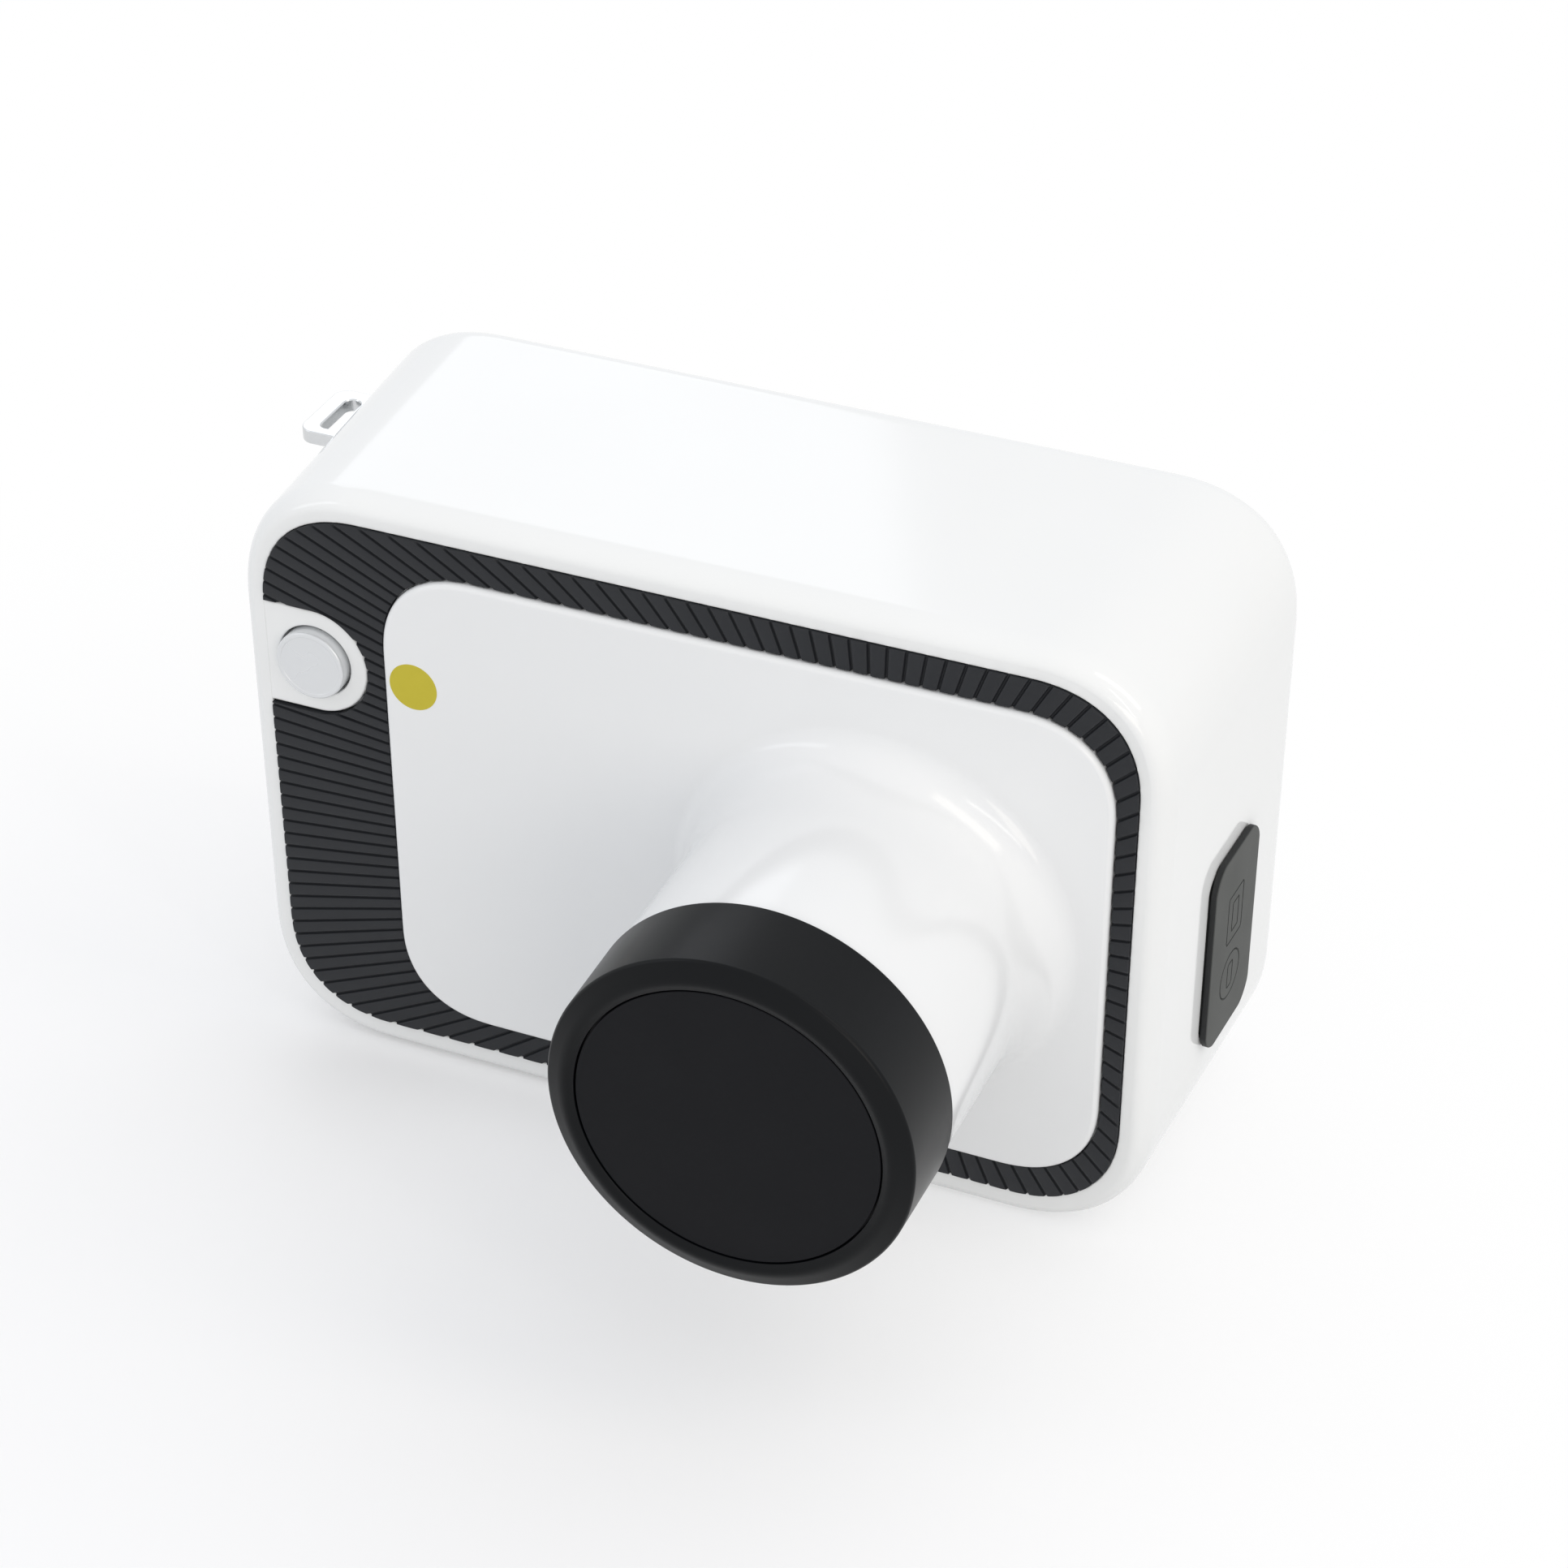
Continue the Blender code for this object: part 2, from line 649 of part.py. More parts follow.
def post_places():
    """Name, x, z and nearest wall height of each of the four screw posts."""
    top = HOUSING_HEIGHT - WALL / 2
    base = WALL / 2
    return (
        ("low_left", -POST_SPREAD, POST_MARGIN, base),
        ("low_right", POST_SPREAD, POST_MARGIN, base),
        ("high_left", -POST_SPREAD, HOUSING_HEIGHT - POST_MARGIN, top),
        ("high_right", POST_SPREAD, HOUSING_HEIGHT - POST_MARGIN, top),
    )


def port_place():
    """Empty on the outside of the right wall: its +X points out of the wall, its +Y to the rear."""
    _, half, _, _ = housing_sides(PORT_DEPTH)
    frame = bpy.data.objects.new("port_frame", None)
    frame.location = (half, at_depth(PORT_DEPTH), BAND_MIDDLE - PORT_DROP)
    frame.rotation_euler = (0, 0, -math.atan2(SIDE_SPREAD, HOUSING_DEPTH))
    PIECES.objects.link(frame)
    return frame


def window_outline(shrink=0):
    length = PORT_COVER_LENGTH - 2 * (PORT_OVERLAP + shrink)
    height = PORT_COVER_HEIGHT - 2 * (PORT_OVERLAP + shrink)
    return round_rectangle(length, height, PORT_COVER_CORNER - PORT_OVERLAP / 2 - shrink)


def add_port_window(housing):
    through = 2 * (WALL + OVERRUN)
    window = [window_outline()]
    cut(housing, plate("port_window", window, through, (0, 0, 0), FACING_SIDE, parent=PORT_FRAME))
    reach = port_board_face() - CLEARANCE - WALL / 2
    lift = port_board_height() / 2 - BOARD_POST_RADIUS
    for tag, height in (("low", -lift), ("high", lift)):
        place = (-WALL / 2 - reach / 2, 0, height)
        size = (reach, BOARD_THICKNESS, BOARD_POST_RADIUS * 2)
        join(housing, block(f"port_rail_{tag}", size, place, parent=PORT_FRAME))


def port_board_height():
    """The port board reaches past the window, to a rail above and one below it."""
    return PORT_COVER_HEIGHT - 2 * PORT_OVERLAP + 4 * BOARD_POST_RADIUS


def port_board_face():
    """Distance of the port board's face inwards from the outside of the wall."""
    return WALL + PORT_BOARD_SETBACK


def lug_height():
    return BAND_MIDDLE + LUG_LIFT


def leaf_face():
    """Half width at the outer face of the lug's inner leaf."""
    return side_surface(LUG_DEPTH, lug_height()) - LUG_LEAF_SETBACK


def add_lug_seat(housing):
    """Fairing, slot and screw pads that carry the strap lug."""
    surface = side_surface(LUG_DEPTH, lug_height())
    near = at_depth(LUG_DEPTH - LUG_LENGTH / 2 - CLEARANCE)
    far = at_depth(LUG_DEPTH + LUG_LENGTH / 2 + CLEARANCE)
    crest = -(surface + LUG_FAIRING_RISE)
    root = -(surface - WALL / 2)
    outline = [
        (root, near - LUG_FAIRING_RUN),
        (crest, near - CLEARANCE),
        (crest, far + CLEARANCE),
        (root, far + LUG_FAIRING_TAIL),
    ]
    height = LUG_THICKNESS + 2 * LUG_FAIRING_RIM
    join(housing, plate("lug_fairing", [outline], height, (0, 0, lug_height()), UPRIGHT))
    depth_middle = at_depth(LUG_DEPTH)
    pad_length = side_surface(LUG_DEPTH, 0) - WALL / 2 - leaf_face() - CLEARANCE
    pad_x = -(leaf_face() + CLEARANCE + pad_length / 2)
    for tag, side in (("front", -1), ("back", 1)):
        y = depth_middle + side * LUG_SCREW_SPACING / 2
        pad = rod(
            f"lug_pad_{tag}", LUG_PAD_RADIUS, pad_length, (pad_x, y, lug_screw_height()), FACING_RIGHT
        )
        join(housing, pad)
    slot_size = (
        2 * (surface - leaf_face() + OVERRUN),
        LUG_LENGTH + 2 * CLEARANCE,
        LUG_THICKNESS + 2 * CLEARANCE,
    )
    cut(housing, block("lug_slot_cutter", slot_size, (-surface, depth_middle, lug_height())))
    for tag, side in (("front", -1), ("back", 1)):
        y = depth_middle + side * LUG_SCREW_SPACING / 2
        pilot = rod(
            f"lug_pilot_{tag}",
            SCREW_RADIUS + CLEARANCE,
            2 * lug_screw_bite(),
            (-leaf_face(), y, lug_screw_height()),
            FACING_RIGHT,
        )
        cut(housing, pilot)


def lug_screw_height():
    return lug_height() - LUG_LEAF_DROP + LUG_PAD_RADIUS


def lug_screw_bite():
    """How deep the lug screws' pilot holes go from the leaf's outer face."""
    return LUG_LEAF_SETBACK


def add_tripod_seat(housing):
    y = TRIPOD_SETBACK
    height = TRIPOD_HEIGHT + TRIPOD_WALL
    boss = rod(
        "tripod_boss",
        TRIPOD_RADIUS + TRIPOD_WALL,
        height - WALL / 2,
        (0, y, (height + WALL / 2) / 2),
        UPRIGHT,
    )
    join(housing, boss)
    well = rod(
        "tripod_well",
        TRIPOD_RADIUS + CLEARANCE,
        2 * (TRIPOD_HEIGHT + CLEARANCE * 2),
        (0, y, 0),
        UPRIGHT,
    )
    cut(housing, well)


def grip_band():
    """Rubber band whose ribs and grooves all point at the cone's axis."""
    directions = groove_directions()
    shape = bmesh.new()
    rim_y = at_depth(-BAND_RISE)
    groove_y = rim_y + GROOVE_DEPTH
    base_y = at_depth(POCKET_DEPTH - CLEARANCE)
    outer = polar_outline(band_outline())
    inner = polar_outline(panel_outline(CLEARANCE))
    ribs = []
    for direction in directions:
        half = GROOVE_WIDTH / 2 / np.interp(direction, *outer)
        levels = (
            (direction - half, rim_y),
            (direction, groove_y),
            (direction + half, rim_y),
            (direction, base_y),
        )
        ribs.append([band_pair(shape, turn, y, outer, inner) for turn, y in levels])
    for rib, following in zip(ribs, ribs[1:] + ribs[:1]):
        _, valley, rise, base = rib
        next_fall, next_valley, _, next_base = following
        for near, far in ((valley, rise), (rise, next_fall), (next_fall, next_valley), (base, next_base)):
            shape.faces.new((near[0], near[1], far[1], far[0]))
        for side in range(2):
            wall = (base, next_base, next_valley, next_fall, rise, valley)
            shape.faces.new([pair[side] for pair in wall])
    bmesh.ops.recalc_face_normals(shape, faces=shape.faces)
    band = add_object("grip_band", mesh_from("grip_band", shape), "grip_rubber")
    cut(band, lobe_plate("lobe_notch_cutter", CLEARANCE, -2 * OVERRUN, POCKET_DEPTH + OVERRUN))
    return band


def band_pair(shape, turn, y, outer, inner):
    """A point on the band's outer edge and one on its inner edge, in line with the cone's axis."""
    pair = []
    for outline in (outer, inner):
        x, z = polar_point(turn, outline)
        pair.append(shape.verts.new((x, y, z)))
    return pair


def panel_outline(grow=0, steps=CORNER_STEPS):
    left, right, bottom, top = PANEL_SIDES
    return soft_rectangle(left - grow, right + grow, bottom - grow, top + grow, PANEL_REACH + grow, steps)


def polar_outline(outline):
    """Direction and distance of an outline's points from the cone's axis, over more than one turn."""
    points = np.array(outline) - (AXIS_X, AXIS_Z)
    closed = np.vstack((points, points[:1]))
    share = np.linspace(0, 1, 60, endpoint=False)[:, None]
    dense = np.vstack([a + (b - a) * share for a, b in zip(closed, closed[1:])])
    turn = np.arctan2(dense[:, 1], dense[:, 0])
    order = np.argsort(turn)
    turn = turn[order]
    reach = np.hypot(dense[:, 0], dense[:, 1])[order]
    wrapped = np.concatenate((turn - 2 * math.pi, turn, turn + 2 * math.pi))
    return wrapped, np.tile(reach, 3)


def polar_point(turn, outline):
    reach = np.interp(turn, *outline)
    return AXIS_X + reach * math.cos(turn), AXIS_Z + reach * math.sin(turn)


def groove_directions():
    """Directions of the grooves, stepped so that each rib shows its pitch across itself.

    The pitch runs evenly from its near value to its far value with the distance from the axis.
    """
    turn = np.linspace(-math.pi, math.pi, 4001)
    reach = np.interp(turn, *polar_outline(band_outline()))
    far_share = np.clip((reach - PITCH_NEAR_REACH) / (PITCH_FAR_REACH - PITCH_NEAR_REACH), 0, 1)
    pitch = GROOVE_PITCH_NEAR + (GROOVE_PITCH_FAR - GROOVE_PITCH_NEAR) * far_share
    density = reach / pitch
    steps = (density[1:] + density[:-1]) / 2 * np.diff(turn)
    total = np.concatenate(([0], np.cumsum(steps)))
    count = round(total[-1])
    wanted = (np.arange(count) + 1 / 2) * total[-1] / count
    return np.interp(wanted, total, turn)


def front_panel():
    """Raised panel with a rounded edge, its flared cone and the spigot that takes the collimator."""
    left, right, bottom, top = PANEL_SIDES
    rings = []
    back = POCKET_DEPTH - CLEARANCE
    for depth, inset in [(back, 0)] + [
        (-PANEL_RISE + PANEL_ROUNDING * (1 - s), PANEL_ROUNDING * (1 - c)) for s, c in quarter(3)
    ]:
        outline = soft_rectangle(
            left + inset, right - inset, bottom + inset, top - inset, PANEL_REACH - inset
        )
        rings.append([(x, at_depth(depth), z) for x, z in outline])
    panel = loft("front_panel", rings, "panel_white")
    face = PANEL_RISE
    profile = [
        (0, CONE_LENGTH + SPIGOT_LENGTH),
        (SPIGOT_RADIUS, CONE_LENGTH + SPIGOT_LENGTH),
        (SPIGOT_RADIUS, CONE_LENGTH - CLEARANCE),
        (CONE_RADIUS, CONE_LENGTH - CLEARANCE),
    ]
    profile += flare_profile(face - FLARE_SINK)
    foot = CONE_RADIUS + FLARE_SPREAD
    profile += [(foot, -POCKET_DEPTH / 2), (0, -POCKET_DEPTH / 2)]
    axis_place = (AXIS_X, at_depth(0), AXIS_Z)
    join(panel, turned("cone_flare", profile, axis_place, FACING_FRONT))
    length = CONE_LENGTH + SPIGOT_LENGTH + POCKET_DEPTH + 2 * OVERRUN
    middle = at_depth(POCKET_DEPTH + OVERRUN - length / 2)
    bore = rod("cone_bore", CONE_BORE, length, (AXIS_X, middle, AXIS_Z), FACING_FRONT)
    cut(panel, bore)
    smooth(panel)
    return panel


def flare_profile(base):
    """Concave quarter ellipse from the cone's side down to the panel's face."""
    points = []
    for s, c in quarter(FLARE_STEPS):
        points.append((CONE_RADIUS + FLARE_SPREAD * (1 - c), base + FLARE_LENGTH * (1 - s)))
    return points


def collimator_ring():
    """Black ring on the cone's end: a bead round the exit window, a shoulder that falls back from
    it to the barrel's edge, and a ledge for the window."""
    front = RING_LENGTH
    ledge = front - WINDOW_SINK - WINDOW_THICKNESS - CLEARANCE
    seat = WINDOW_RADIUS + CLEARANCE
    socket = SPIGOT_RADIUS + CLEARANCE
    socket_end = SPIGOT_LENGTH + CLEARANCE
    bead = RING_BEAD - RING_BEAD_FLAT
    edge = front - RING_SHOULDER
    profile = []
    for s, c in quarter(SMALL_STEPS):
        profile.append((seat + RING_BEAD_FLAT + bead * s, front - RING_BEAD_HEIGHT * (1 - c)))
    for s, c in quarter(SMALL_STEPS)[::-1]:
        profile.append((RING_RADIUS - RING_ROUNDING * (1 - c), edge - RING_ROUNDING * (1 - s)))
    profile += [
        (RING_RADIUS + RING_TAPER, 0),
        (socket, 0),
        (socket, socket_end),
        (WINDOW_RADIUS - WINDOW_LEDGE, socket_end),
        (WINDOW_RADIUS - WINDOW_LEDGE, ledge),
        (seat, ledge),
        (seat, front),
    ]
    place = (AXIS_X, at_depth(-CONE_LENGTH), AXIS_Z)
    return turned("collimator_ring", profile, place, FACING_FRONT, "black_satin", ring=True)


def exit_window():
    back = CONE_LENGTH + RING_LENGTH - WINDOW_SINK - WINDOW_THICKNESS
    place = (AXIS_X, at_depth(-back - WINDOW_THICKNESS / 2), AXIS_Z)
    disc = rod("exit_window", WINDOW_RADIUS, WINDOW_THICKNESS, place, FACING_FRONT, "window_black")
    smooth(disc)
    return disc


def beam_parts():
    """Lead liner in the cone, brass diaphragm in the front wall and its aluminium filter."""
    flange_front = POCKET_DEPTH - CLEARANCE - DIAPHRAGM_FLANGE
    liner_radius = CONE_BORE - CLEARANCE
    liner_back = CLEARANCE - flange_front
    liner_front = CONE_LENGTH + SPIGOT_LENGTH
    liner = [
        (liner_radius, liner_front),
        (liner_radius, liner_back),
        (liner_radius - LINER_WALL, liner_back),
        (liner_radius - LINER_WALL, liner_front),
    ]
    axis_place = (AXIS_X, at_depth(0), AXIS_Z)
    turned("cone_liner", liner, axis_place, FACING_FRONT, "lead", ring=True)
    recess = FILTER_THICKNESS + CLEARANCE
    flange_top = -flange_front
    flange_base = CLEARANCE - POCKET_DEPTH
    pocket = FILTER_RADIUS + CLEARANCE
    diaphragm = [
        (pocket, flange_top),
        (liner_radius, flange_top),
        (liner_radius, flange_base),
        (DIAPHRAGM_RADIUS, flange_base),
        (DIAPHRAGM_RADIUS, -INNER_DEPTH),
        (APERTURE_RADIUS, -INNER_DEPTH),
        (APERTURE_RADIUS, flange_top - recess),
        (pocket, flange_top - recess),
    ]
    turned("collimator_diaphragm", diaphragm, axis_place, FACING_FRONT, "brass", ring=True)
    middle = at_depth(-(flange_top - recess + CLEARANCE + FILTER_THICKNESS / 2))
    rod("beam_filter", FILTER_RADIUS, FILTER_THICKNESS, (AXIS_X, middle, AXIS_Z), FACING_FRONT, "aluminium")


def stem_end_depth():
    """Depth of the button stem's rear end at rest."""
    return INNER_DEPTH + CLEARANCE + BUTTON_FLANGE + BUTTON_STEM_LENGTH


def button_board_depth():
    return stem_end_depth() + BUTTON_TRAVEL + CLEARANCE + PLUNGER_HEIGHT + SWITCH_HEIGHT + CLEARANCE


def exposure_button():
    """Silver cap with a flange behind the wall and a stem that works the switch."""
    flange_front = -(INNER_DEPTH + CLEARANCE)
    flange_radius = BUTTON_RADIUS + BUTTON_FLANGE_WIDTH
    profile = [(0, BUTTON_RISE + BUTTON_DOME)]
    profile += [
        (BUTTON_RADIUS - BUTTON_ROUNDING * (1 - s), BUTTON_RISE - BUTTON_ROUNDING * (1 - c))
        for s, c in quarter(3)
    ]
    profile += [
        (BUTTON_RADIUS, flange_front),
        (flange_radius, flange_front),
        (flange_radius, flange_front - BUTTON_FLANGE),
        (BUTTON_STEM_RADIUS, flange_front - BUTTON_FLANGE),
        (BUTTON_STEM_RADIUS, -stem_end_depth()),
        (0, -stem_end_depth()),
    ]
    place = (LOBE_X, at_depth(0), LOBE_Z)
    turned("exposure_button", profile, place, FACING_FRONT, "button_silver")
    tip = stem_end_depth() + BUTTON_TRAVEL + CLEARANCE
    body = tip + PLUNGER_HEIGHT
    switch = block(
        "button_switch",
        (SWITCH_SIZE, SWITCH_HEIGHT, SWITCH_SIZE),
        (LOBE_X, at_depth(body + SWITCH_HEIGHT / 2), LOBE_Z),
        "dark_plastic",
    )
    length = PLUNGER_HEIGHT + SWITCH_HEIGHT / 2
    plunger = rod(
        "switch_plunger", PLUNGER_RADIUS, length, (LOBE_X, at_depth(tip + length / 2), LOBE_Z), FACING_FRONT,
    )
    join(switch, plunger)
    board_middle = at_depth(button_board_depth() + BOARD_THICKNESS / 2)
    block(
        "button_board",
        (BUTTON_BOARD_WIDTH, BOARD_THICKNESS, BUTTON_BOARD_HEIGHT),
        (LOBE_X, board_middle, LOBE_Z),
        "board_green",
    )


def rear_cover():
    """Plate set into the back of the housing, with bosses, display window and key holes."""
    edge = BACK_ROUNDING + BACK_RIM + CLEARANCE
    rings = [
        housing_ring(HOUSING_DEPTH, edge + COVER_ROUNDING),
        housing_ring(HOUSING_DEPTH - COVER_ROUNDING, edge),
        housing_ring(HOUSING_DEPTH - WALL, edge),
    ]
    cover = loft("rear_cover", rings, "white_abs")
    post_start = cover_boss_end()
    for tag, x, z, _ in post_places():
        length = HOUSING_DEPTH - WALL / 2 - post_start
        middle = at_depth(post_start + length / 2)
        radius = SCREW_HEAD_RADIUS + WALL
        join(cover, rod(f"cover_post_{tag}", radius, length, (x, middle, z), FACING_BACK))
    for tag, x, z, _ in post_places():
        head_hole = SCREW_HEAD_RADIUS + RUNNING_GAP
        head_length = SCREW_RECESS + OVERRUN
        head_middle = BACK_Y - SCREW_RECESS + head_length / 2
        cut(cover, rod(f"head_hole_{tag}", head_hole, head_length, (x, head_middle, z), FACING_BACK))
        shank_hole = SCREW_RADIUS + CLEARANCE
        middle = at_depth(HOUSING_DEPTH - BACK_ROUNDING / 2)
        cut(cover, rod(f"shank_hole_{tag}", shank_hole, 4 * BACK_ROUNDING, (x, middle, z), FACING_BACK))
    add_display_window(cover)
    add_key_seats(cover)
    smooth(cover)
    return cover


def display_centre():
    return DISPLAY_OFFSET, KEYPAD_MIDDLE


def add_display_window(cover):
    x, z = display_centre()
    recess = GLASS_THICKNESS + CLEARANCE
    width = GLASS_WIDTH + 2 * CLEARANCE
    height = GLASS_HEIGHT + 2 * CLEARANCE
    outline = round_rectangle(width, height, GLASS_CORNER + CLEARANCE)
    depth = recess + OVERRUN
    place = (x, BACK_Y - recess + depth / 2, z)
    cut(cover, plate("glass_recess", [outline], depth, place, FACING_FRONT))
    opening = round_rectangle(GLASS_WIDTH - 2 * DISPLAY_RIM, GLASS_HEIGHT - 2 * DISPLAY_RIM, GLASS_CORNER / 2)
    place = (x, BACK_Y - WALL / 2, z)
    cut(cover, plate("display_opening", [opening], 2 * WALL + OVERRUN, place, FACING_FRONT))


def key_heights():
    """Name and height of each key, top to bottom."""
    return (
        ("key_power", KEYPAD_MIDDLE + KEY_PITCH * 3 / 2),
        ("key_up", KEYPAD_MIDDLE + KEY_PITCH / 2),
        ("key_down", KEYPAD_MIDDLE - KEY_PITCH / 2),
        ("key_mode", KEYPAD_MIDDLE - KEY_PITCH * 3 / 2),
    )


def add_key_seats(cover):
    for name, z in key_heights():
        hole = KEY_RADIUS + RUNNING_GAP
        place = (-KEY_OFFSET, BACK_Y, z)
        cut(cover, rod(f"{name}_hole", hole, 4 * WALL, place, FACING_BACK))
    inner = BACK_Y - WALL
    for tag, z in keypad_posts():
        length = KEYPAD_SETBACK - CLEARANCE + WALL / 2
        middle = inner + WALL / 2 - length / 2
        post = rod(f"keypad_post_{tag}", BOARD_POST_RADIUS, length, (-KEY_OFFSET, middle, z), FACING_BACK)
        join(cover, post)


def keypad_posts():
    return (("low", KEYPAD_MIDDLE - KEYPAD_REACH), ("high", KEYPAD_MIDDLE + KEYPAD_REACH))


def back_screws():
    for tag, x, z, _ in post_places():
        seat = BACK_Y - SCREW_RECESS + CLEARANCE
        screw(f"rear_screw_{tag}", SCREW_LENGTH, (x, seat, z), FACING_BACK)


def screw(name, length, place, rotation):
    """Pan-head screw: its head stands on its own origin and its shank points down its own Z axis."""
    edge = SCREW_HEAD_HEIGHT / 3
    profile = [
        (0, SCREW_HEAD_HEIGHT),
        (SCREW_HEAD_RADIUS - edge, SCREW_HEAD_HEIGHT),
        (SCREW_HEAD_RADIUS, SCREW_HEAD_HEIGHT - edge),
        (SCREW_HEAD_RADIUS, 0),
        (SCREW_RADIUS, 0),
        (SCREW_RADIUS, -length),
        (0, -length - SCREW_RADIUS),
    ]
    return turned(name, profile, place, rotation, "steel")


def display_parts():
    x, z = display_centre()
    glass_middle = BACK_Y - GLASS_THICKNESS / 2
    outline = round_rectangle(GLASS_WIDTH, GLASS_HEIGHT, GLASS_CORNER)
    plate("display_glass", [outline], GLASS_THICKNESS, (x, glass_middle, z), FACING_FRONT, "screen_glass")
    module_back = BACK_Y - WALL - CLEARANCE
    size = (GLASS_WIDTH - DISPLAY_RIM, DISPLAY_MODULE_THICKNESS, GLASS_HEIGHT - DISPLAY_RIM)
    place = (x, module_back - DISPLAY_MODULE_THICKNESS / 2, z)
    block("display_module", size, place, "dark_plastic", rounding=DISPLAY_MODULE_THICKNESS / 8)


def keypad():
    """Four round keys, each with a flange behind the cover and a stem over the keypad board."""
    flange_back = WALL + CLEARANCE
    board_face = WALL + KEYPAD_SETBACK
    stem_end = board_face - KEY_TRAVEL - CLEARANCE
    flange_radius = KEY_RADIUS + KEY_FLANGE_WIDTH
    profile = [(0, KEY_RISE)]
    profile += [
        (KEY_RADIUS - KEY_ROUNDING * (1 - s), KEY_RISE - KEY_ROUNDING * (1 - c)) for s, c in quarter(2)
    ]
    profile += [
        (KEY_RADIUS, -flange_back),
        (flange_radius, -flange_back),
        (flange_radius, -flange_back - KEY_FLANGE),
        (KEY_STEM_RADIUS, -flange_back - KEY_FLANGE),
        (KEY_STEM_RADIUS, -stem_end),
        (0, -stem_end),
    ]
    for name, z in key_heights():
        turned(name, profile, (-KEY_OFFSET, BACK_Y, z), FACING_BACK, "dark_plastic")
    height = 2 * (KEYPAD_REACH + BOARD_POST_RADIUS)
    place = (-KEY_OFFSET, BACK_Y - board_face - BOARD_THICKNESS / 2, KEYPAD_MIDDLE)
    block("keypad_board", (KEYPAD_WIDTH, BOARD_THICKNESS, height), place, "board_green")


def port_cover():
    """Rubber flap over the sockets, hinged along its front edge, with a plug rim that seals the window."""
    axis_out = CLEARANCE + PORT_COVER_THICKNESS / 2
    axis_along = (PORT_COVER_THICKNESS - PORT_COVER_LENGTH) / 2
    flap = round_rectangle(PORT_COVER_LENGTH, PORT_COVER_HEIGHT, PORT_COVER_CORNER)
    outline = [(along - axis_along, up) for along, up in flap]
    cover = plate(
        "port_cover",
        [outline],
        PORT_COVER_THICKNESS,
        (axis_out, axis_along, 0),
        FACING_SIDE,
        "port_rubber",
        parent=PORT_FRAME,
    )
    round_edges(cover, PORT_COVER_EDGE)
    rim_depth = PLUG_DEPTH + CLEARANCE + PORT_COVER_THICKNESS / 2
    rim_outlines = [window_outline(PLUG_GAP), window_outline(PLUG_GAP + PLUG_WALL)]
    rim = plate(
        "port_plug_rim",
        rim_outlines,
        rim_depth,
        (axis_out - rim_depth / 2, 0, 0),
        FACING_SIDE,
        parent=PORT_FRAME,
    )
    join(cover, rim)
    return cover


def port_parts():
    """Charging socket and data socket on the small port board."""
    face = -(WALL + SOCKET_SETBACK)
    board_face = -port_board_face()
    block(
        "port_board",
        (BOARD_THICKNESS, PORT_BOARD_LENGTH, port_board_height()),
        (board_face - BOARD_THICKNESS / 2, 0, 0),
        "board_green",
        parent=PORT_FRAME,
    )
    length = face - board_face - CLEARANCE
    socket = rod(
        "charging_socket",
        DC_RADIUS,
        length,
        (face - length / 2, 0, -DC_SETTING),
        FACING_RIGHT,
        "dark_plastic",
        parent=PORT_FRAME,
    )
    bore_length = length - BOARD_THICKNESS
    bore_place = (face + OVERRUN - bore_length / 2, 0, -DC_SETTING)
    cut(socket, rod("charging_bore", DC_BORE, bore_length, bore_place, FACING_RIGHT, parent=PORT_FRAME))
    pin_length = length - OVERRUN
    pin_place = (board_face + CLEARANCE + BOARD_THICKNESS / 2 + pin_length / 2, 0, -DC_SETTING)
    join(socket, rod("charging_pin", DC_PIN, pin_length, pin_place, FACING_RIGHT, parent=PORT_FRAME))
    shell_outline = round_rectangle(USB_WIDTH, USB_HEIGHT, USB_WIDTH / 2 - USB_SHELL / 4)
    shell_place = (face - length / 2, 0, DC_SETTING)
    shell = plate("data_socket", [shell_outline], length, shell_place, FACING_SIDE, "steel", PORT_FRAME)
    mouth_outline = round_rectangle(
        USB_WIDTH - 2 * USB_SHELL, USB_HEIGHT - 2 * USB_SHELL, USB_WIDTH / 2 - USB_SHELL * 5 / 4
    )
    mouth_place = (face + OVERRUN - bore_length / 2, 0, DC_SETTING)
    cut(shell, plate("data_mouth", [mouth_outline], bore_length, mouth_place, FACING_SIDE, parent=PORT_FRAME))
    tongue_size = (pin_length, SOCKET_TONGUE, USB_HEIGHT - 4 * SOCKET_TONGUE)
    tongue_place = (pin_place[0], 0, DC_SETTING)
    join(shell, block("data_tongue", tongue_size, tongue_place, parent=PORT_FRAME))


